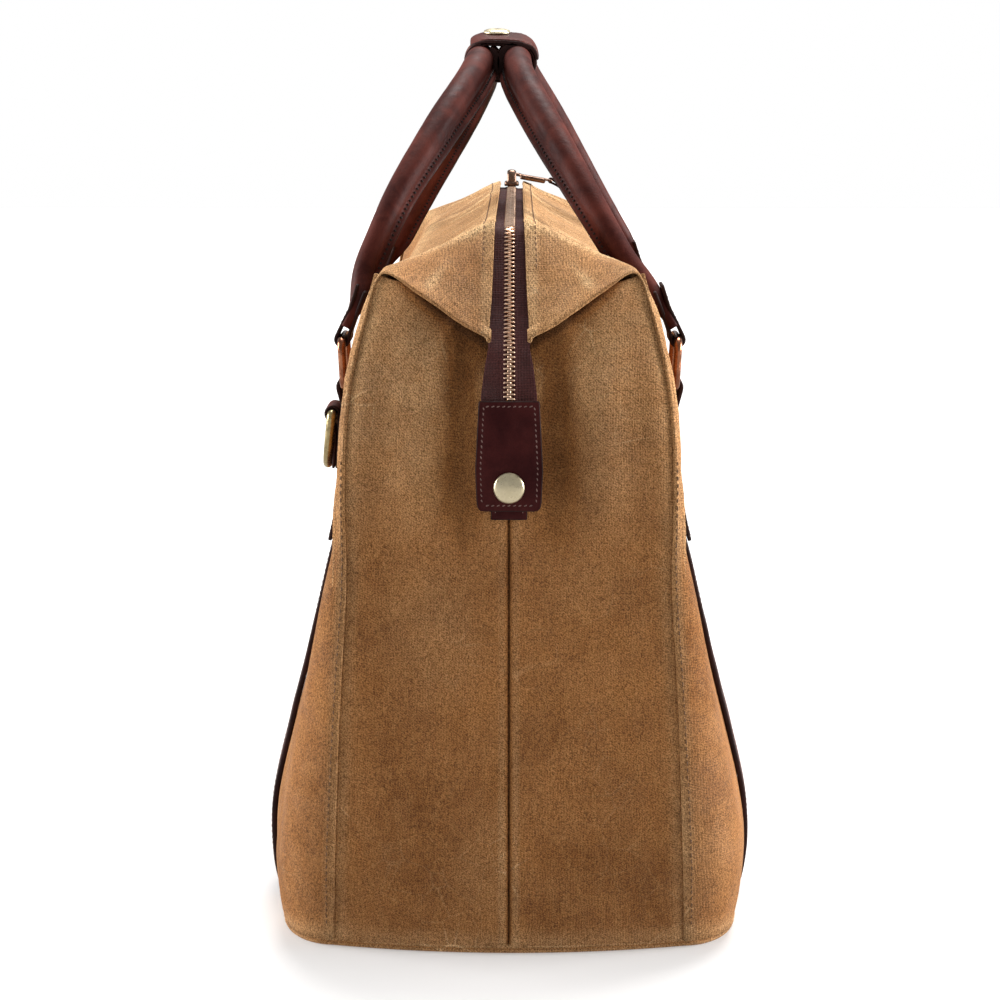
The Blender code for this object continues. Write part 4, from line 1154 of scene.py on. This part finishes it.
def rings():
    """The four rectangular rings, with bent corners."""
    bend, height = 0.004, (RING_HIGH[1] - RING_LOW[1]) / 2
    for side_name, side, end_name, end in CORNERS:
        points = []
        for k, (sx, sz) in enumerate(((1, 1), (-1, 1), (-1, -1), (1, -1))):
            for turn in np.radians(90 * k + np.linspace(0, 90, 9)):
                x = sx * (RING_HALF - bend) + bend * math.cos(turn)
                z = sz * (height - bend) + bend * math.sin(turn)
                y = RING_LOW[0] + (RING_HIGH[0] - RING_LOW[0]) * (z + height) / (2 * height)
                points.append((end * STRAP_X + x, side * y, RING_LOW[1] + height + z))
        name = f"{side_name}_ring_{end_name}"
        piece(wire(points, RING_WIRE), f"ring_{side_name}_{end_name}", [COPPER], name, "copper", name)


def d_rings():
    """A D-ring on each face, hung in a chape behind the strap's ring chape."""
    t = 0.0014
    for side_name, side, x in (("front", -1, STRAP_X), ("back", 1, -STRAP_X)):
        points = [(x + s * D_HALF, side * D_BAR[0], D_BAR[1]) for s in np.linspace(-0.9, 0.9, 9)]
        for turn in np.linspace(0, math.pi, 40):
            y, z = (bar + (foot - bar) * max(0.0, math.sin(turn)) for bar, foot in zip(D_BAR, D_FOOT))
            points.append((x + D_HALF * math.cos(turn), side * y, z))
        piece(wire(points, D_WIRE), f"d_ring_{side_name}", [OLIVE_BRASS], f"{side_name}_d_ring", "antique_brass",
              f"{side_name}_d_ring")
        under = STRAP_T + 3 * GAP + CHAPE_T
        path = on_side((0.229, 0.2480), under + 2 * GAP) + arc(D_BAR, D_WIRE + WIRE_CLEARANCE + t, 190, -20, 12)
        path += on_side((0.2480, 0.229), under + 3 * GAP + 2 * t)
        mesh = Mesh()
        loop = Strap([(x, side * y, z) for y, z in path], (1, 0, 0), 0.012, t, (0, -side, 0), 0.0015, 0.0008)
        loop.into(mesh)
        loop.sew(mesh, loop.length - 0.017, loop.length - 0.0015, 0.0098, FINE_SEWING)
        loop.sew_across(mesh, loop.length - 0.0022, 0.0085, 20, FINE_SEWING)
        piece(mesh, f"d_ring_chape_{side_name}", HIDE, "root", "leather", f"{side_name}_d_chape")


def handle_y(z, side):
    """How far forward or back a handle's middle line stands at height z."""
    drop = 0.4330 - z
    return side * (0.0101 + 0.565 * (drop + np.hypot(drop, 0.008)) / 2) - 0.004 * np.clip((z - 0.30) / 0.13, 0, 1)


def arch_drop(x):
    """How far the handles' arch lies below its top at x."""
    share = (1 - (np.minimum(np.abs(x), STRAP_X) / STRAP_X) ** ARCH_POWER) ** (1 / ARCH_POWER)
    return (ARCH_TOP_Z - ARCH_BASE_Z) * (1 - share)


def handle_line(side):
    """The middle line of a handle's arch, which leans a little towards the front."""
    height = ARCH_TOP_Z - ARCH_BASE_Z
    start = math.asin(((GRIP_END_Z - ARCH_BASE_Z) / height) ** (ARCH_POWER / 2))
    turn = np.linspace(start, math.pi - start, 400)
    c = np.cos(turn)
    z = ARCH_BASE_Z + height * np.sin(turn) ** (2 / ARCH_POWER)
    x = np.sign(c) * STRAP_X * np.abs(c) ** (2 / ARCH_POWER)
    lean = 0.0058 * ease(x, -0.12, 0.06)
    if side < 0:
        lean = ease(x, -0.03, 0.11) * (0.0058 * (1 - 0.5 * ease(z, 0.40, 0.4375)) + 0.0030 * bell(z, 0.368, 0.025))
    line = np.stack([x, handle_y(z, side) - ease(z, 0.308, 0.338) * lean, z], 1)
    return soften(resample(line, 0.002), 0.004, 0.002)


def square_to(tangent, way):
    return unit(way - (tangent @ way)[:, None] * tangent)


def handles():
    """The rolled grips, their rope cores and the tabs folded round the rings."""
    tab_t = 0.0018
    # Section of the roll with its sewn edge, and of the flat end
    edge = [(0.0062, 0.0022), (0.0078, 0.0020), (0.0094, 0.0019), (0.0108, 0.0018), (0.0114, 0.0010), (0.0108, 0.0)]
    roll = [(a - 0.0016, b) for a, b in arc((0, 0), GRIP_RADIUS, 24, 336, 32)]
    roll = np.array(edge[::-1] + roll + [(a, -b) for a, b in edge[:-1]])
    angles = np.radians(np.r_[np.linspace(0, 40, 7)[:-1], np.linspace(40, 320, 33), np.linspace(320, 360, 7)[1:-1]])
    c, s = np.cos(angles), np.sin(angles)
    flat_end = np.stack([0.0029 * np.sign(c) * np.abs(c) ** 0.55, 0.0134 * np.sign(s) * np.abs(s) ** 0.35], 1)
    n = len(roll)
    edge_columns = {j for j in range(n) if roll[j, 0] > 0.0104 and roll[(j + 1) % n, 0] > 0.0104}
    for side_name, side in SIDES:
        line = handle_line(side)
        run, tangent = lengths(line), directions(line)
        to_end = np.minimum(run, run[-1] - run)
        # Near its ends the roll opens into a flat tab that lies square to the ring
        flat = ease(to_end, 0.034, 0.004)
        inner = unit(square_to(tangent, np.array((0, -side, -1.0))) * (1 - flat[:, None])
                     + square_to(tangent, np.array((0, -side, -0.45))) * flat[:, None])
        across = np.cross(tangent, inner)
        squeeze = (1 - 0.26 * ease(to_end, 0.150, 0.035) * (1 - flat))[:, None]
        shape = roll[None] * (1 - flat[:, None, None]) + flat_end[None] * flat[:, None, None]
        shape = shape * squeeze[..., None]
        grid = line[:, None] + shape[..., :1] * inner[:, None] + shape[..., 1:] * across[:, None]
        grid += (0.00010 * field(grid, (90, 90, 90), 121 + side))[..., None] * unit(grid - line[:, None])
        slots = [1 if j in edge_columns and flat[i] < 0.6 else 0 for i in range(len(line) - 1) for j in range(n)]
        mesh = Mesh()
        mesh.rings(grid, slots + [1, 1])
        for way in (1, -1):
            points = line + (inner * 0.0077 + across * way * 0.00225) * squeeze  # just outside the sewn edge
            stitches(mesh, points[12:-12], (across * way)[12:-12], 0.0028, 0.0015, 0.00078, 3)
        piece(mesh, f"handle_{side_name}", HIDE + [HOLE_THREAD], f"{side_name}_handle", "leather",
              f"{side_name}_handle_grip")
        mesh = Mesh()
        centre = line - inner * 0.0018
        for k in range(3):
            phase = (lengths(centre) / 0.022 * 2 * math.pi + k * 2 * math.pi / 3)[:, None]
            strand = centre + (np.cos(phase) * inner + np.sin(phase) * across) * 0.0022
            tube(mesh, strand[28:-28], 0.0022, sides=10)
        piece(mesh, f"handle_core_{side_name}", [ROPE], f"{side_name}_handle", "handle_core",
              f"{side_name}_handle_core")
        path = [(0.0788, 0.3240), (0.0822, 0.3130), (0.0868, 0.3040)]
        path += arc(RING_HIGH, RING_WIRE + WIRE_CLEARANCE + tab_t, 12, -200, 16)
        path += [(0.0798, 0.3030), (0.0768, 0.3110), (0.0732, 0.3200)]
        for end_name, end in ENDS:
            x = end * (STRAP_X - 0.001)
            mesh = Mesh()
            tab = Strap([(x, side * y, z) for y, z in path], (1, 0, 0),
                        lambda s: np.interp(s, (0, 0.008, 0.02), (0.0100, 0.0122, 0.0130)), tab_t, (0, side, 0),
                        0.0012, 0.0012, 0.0006)
            tab.into(mesh)
            tab.sew(mesh, 0.004, 0.024, 0.0106, GRIP_TAB_SEWING)
            piece(mesh, f"handle_tab_{side_name}_{end_name}", HIDE, f"{side_name}_handle", "leather",
                  f"{side_name}_handle_tab_{end_name}")


def keeper():
    """The band and its lining go round both grips, the fold fills the gap between them, and the flap
    closes over the top."""
    front, back = handle_y(ARCH_TOP_Z, -1) + 0.0004, handle_y(ARCH_TOP_Z, 1) - 0.0040
    radius = 0.0114
    band = arc((back, ARCH_TOP_Z), radius, 48, -90, 16) + arc((front, ARCH_TOP_Z), radius, -90, -262, 20)
    band += [(-0.0120, 0.4488), (-0.0040, 0.4485), (0.0040, 0.4482)]
    wrap = arc((back, ARCH_TOP_Z), radius + 0.0004, -82, -262, 20)
    fold = [(-0.0110, 0.4462), (-0.0070, 0.4440), (-0.0058, 0.4400), (-0.0058, 0.4262)]
    flap = [(0.0158, 0.4395), (0.0150, 0.4440), (0.0122, 0.4486), (0.0060, 0.4514), (-0.0050, 0.4522),
            (-0.0150, 0.4522), (-0.0216, 0.4502), (-0.0232, 0.4484)]
    for part, path, thick in (("band", band, 0.0022), ("wrap", wrap, 0.0058), ("fold", fold, 0.0044),
                              ("flap", flap, 0.0030)):
        is_flap = part == "flap"
        mesh = Mesh()
        strap = Strap([(0, y, z) for y, z in path], (1, 0, 0), KEEPER_HALF, thick,
                      (0, 0, -1) if part == "wrap" else (0, 1, 0.3), 0.0012, 0.0016, 0.0007)
        if is_flap:
            strap.half = lambda s, stop=strap.length: KEEPER_HALF - 0.004 / 0.006 * round_off(s, stop, 0.006)
        strap.into(mesh, crown=0.0002, across=12)
        strap.sew(mesh, 0.003, strap.length - 0.004, KEEPER_HALF - 0.0026, KEEPER_SEWING)
        # Everything follows the arch of the handles, and the flap's free end leans
        for p in mesh.points:
            p[:, 2] -= arch_drop(p[:, 0])
            if is_flap:
                p[:, 2] -= p[:, 0] * math.tan(KEEPER_TILT) * ease(-p[:, 1], -0.019, -0.008)
        obj = piece(mesh, f"keeper_{part}_leather", HIDE, None if is_flap else "back_handle", "leather",
                    "keeper_flap" if is_flap else "keeper_band")
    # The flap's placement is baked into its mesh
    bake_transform(obj)
    snap_cap("keeper_cap", (0, -0.008, 0.4526), (math.sin(KEEPER_TILT), 0, math.cos(KEEPER_TILT)), 0.0021,
             "keeper_flap", "keeper_snap_cap")


for side_name, side in SIDES:
    canvas_side(side_name, side)
for end_name, end in ENDS:
    for side_name, side in SIDES:
        gusset(end_name, end, side_name, side)
bottom()
inside()
zips()
slider()
end_tabs()
straps()
rings()
d_rings()
handles()
keeper()

# ---------------------------------------------------------------- stage
floor_data = bpy.data.meshes.new("floor")
floor_data.from_pydata([(x, y, -0.0002) for x, y in ((-6, -6), (6, -6), (6, 6), (-6, 6))], [], [(0, 1, 2, 3)])
floor = bpy.data.objects.new("floor", floor_data)
bpy.context.scene.collection.objects.link(floor)
paint = Shader("pale_floor", Specular_IOR_Level=0.0, Emission_Strength=0.34, Emission_Color=(1, 1, 1, 1))
# The camera sees a paler floor than the bag does
direct = paint.node("ShaderNodeLightPath").outputs["Is Camera Ray"]
floor_data.materials.append(paint.finish(paint.mix(direct, (0.30, 0.29, 0.28), (0.66, 0.655, 0.65)), 0.9))

world = bpy.data.worlds.new("studio")
world.use_nodes = True
nodes, links = world.node_tree.nodes, world.node_tree.links
nodes["Background"].inputs["Color"].default_value = (1, 1, 1, 1)
seen, share = nodes.new("ShaderNodeLightPath"), nodes.new("ShaderNodeMapRange")
share.inputs["To Min"].default_value, share.inputs["To Max"].default_value = 0.42, 1.0
links.new(seen.outputs["Is Camera Ray"], share.inputs["Value"])
links.new(share.outputs["Result"], nodes["Background"].inputs["Strength"])
bpy.context.scene.world = world

# Soft lamps: strength, angular size, elevation, and azimuth from +X towards +Y, in degrees
for name, strength, angle, elevation, azimuth in (("top_light", 3.7, 34, 62, 165), ("back_light", 8.2, 40, 3, 96),
                                                  ("front_light", 5.1, 40, 8, -98)):
    data = bpy.data.lights.new(name, "SUN")
    data.energy, data.angle = strength, math.radians(angle)
    lamp = bpy.data.objects.new(name, data)
    e, a = math.radians(elevation), math.radians(azimuth)
    toward = Vector((math.cos(e) * math.cos(a), math.cos(e) * math.sin(a), math.sin(e)))
    lamp.rotation_euler = toward.to_track_quat("Z", "Y").to_euler()
    bpy.context.scene.collection.objects.link(lamp)

camera_data = bpy.data.cameras.new("camera")
camera_data.lens, camera_data.sensor_width = 88.4, 36
camera_data.clip_end = 50
camera = bpy.data.objects.new("camera", camera_data)
yaw, pitch = 0.0072, 0.1765
looking = Vector((-math.cos(yaw) * math.cos(pitch), -math.sin(yaw) * math.cos(pitch), -math.sin(pitch)))
camera.location = (1.4200, 0.0040, 0.4360)
camera.rotation_euler = looking.to_track_quat("-Z", "Y").to_euler()
bpy.context.scene.collection.objects.link(camera)
bpy.context.scene.camera = camera
bpy.context.scene.view_settings.view_transform = "Standard"
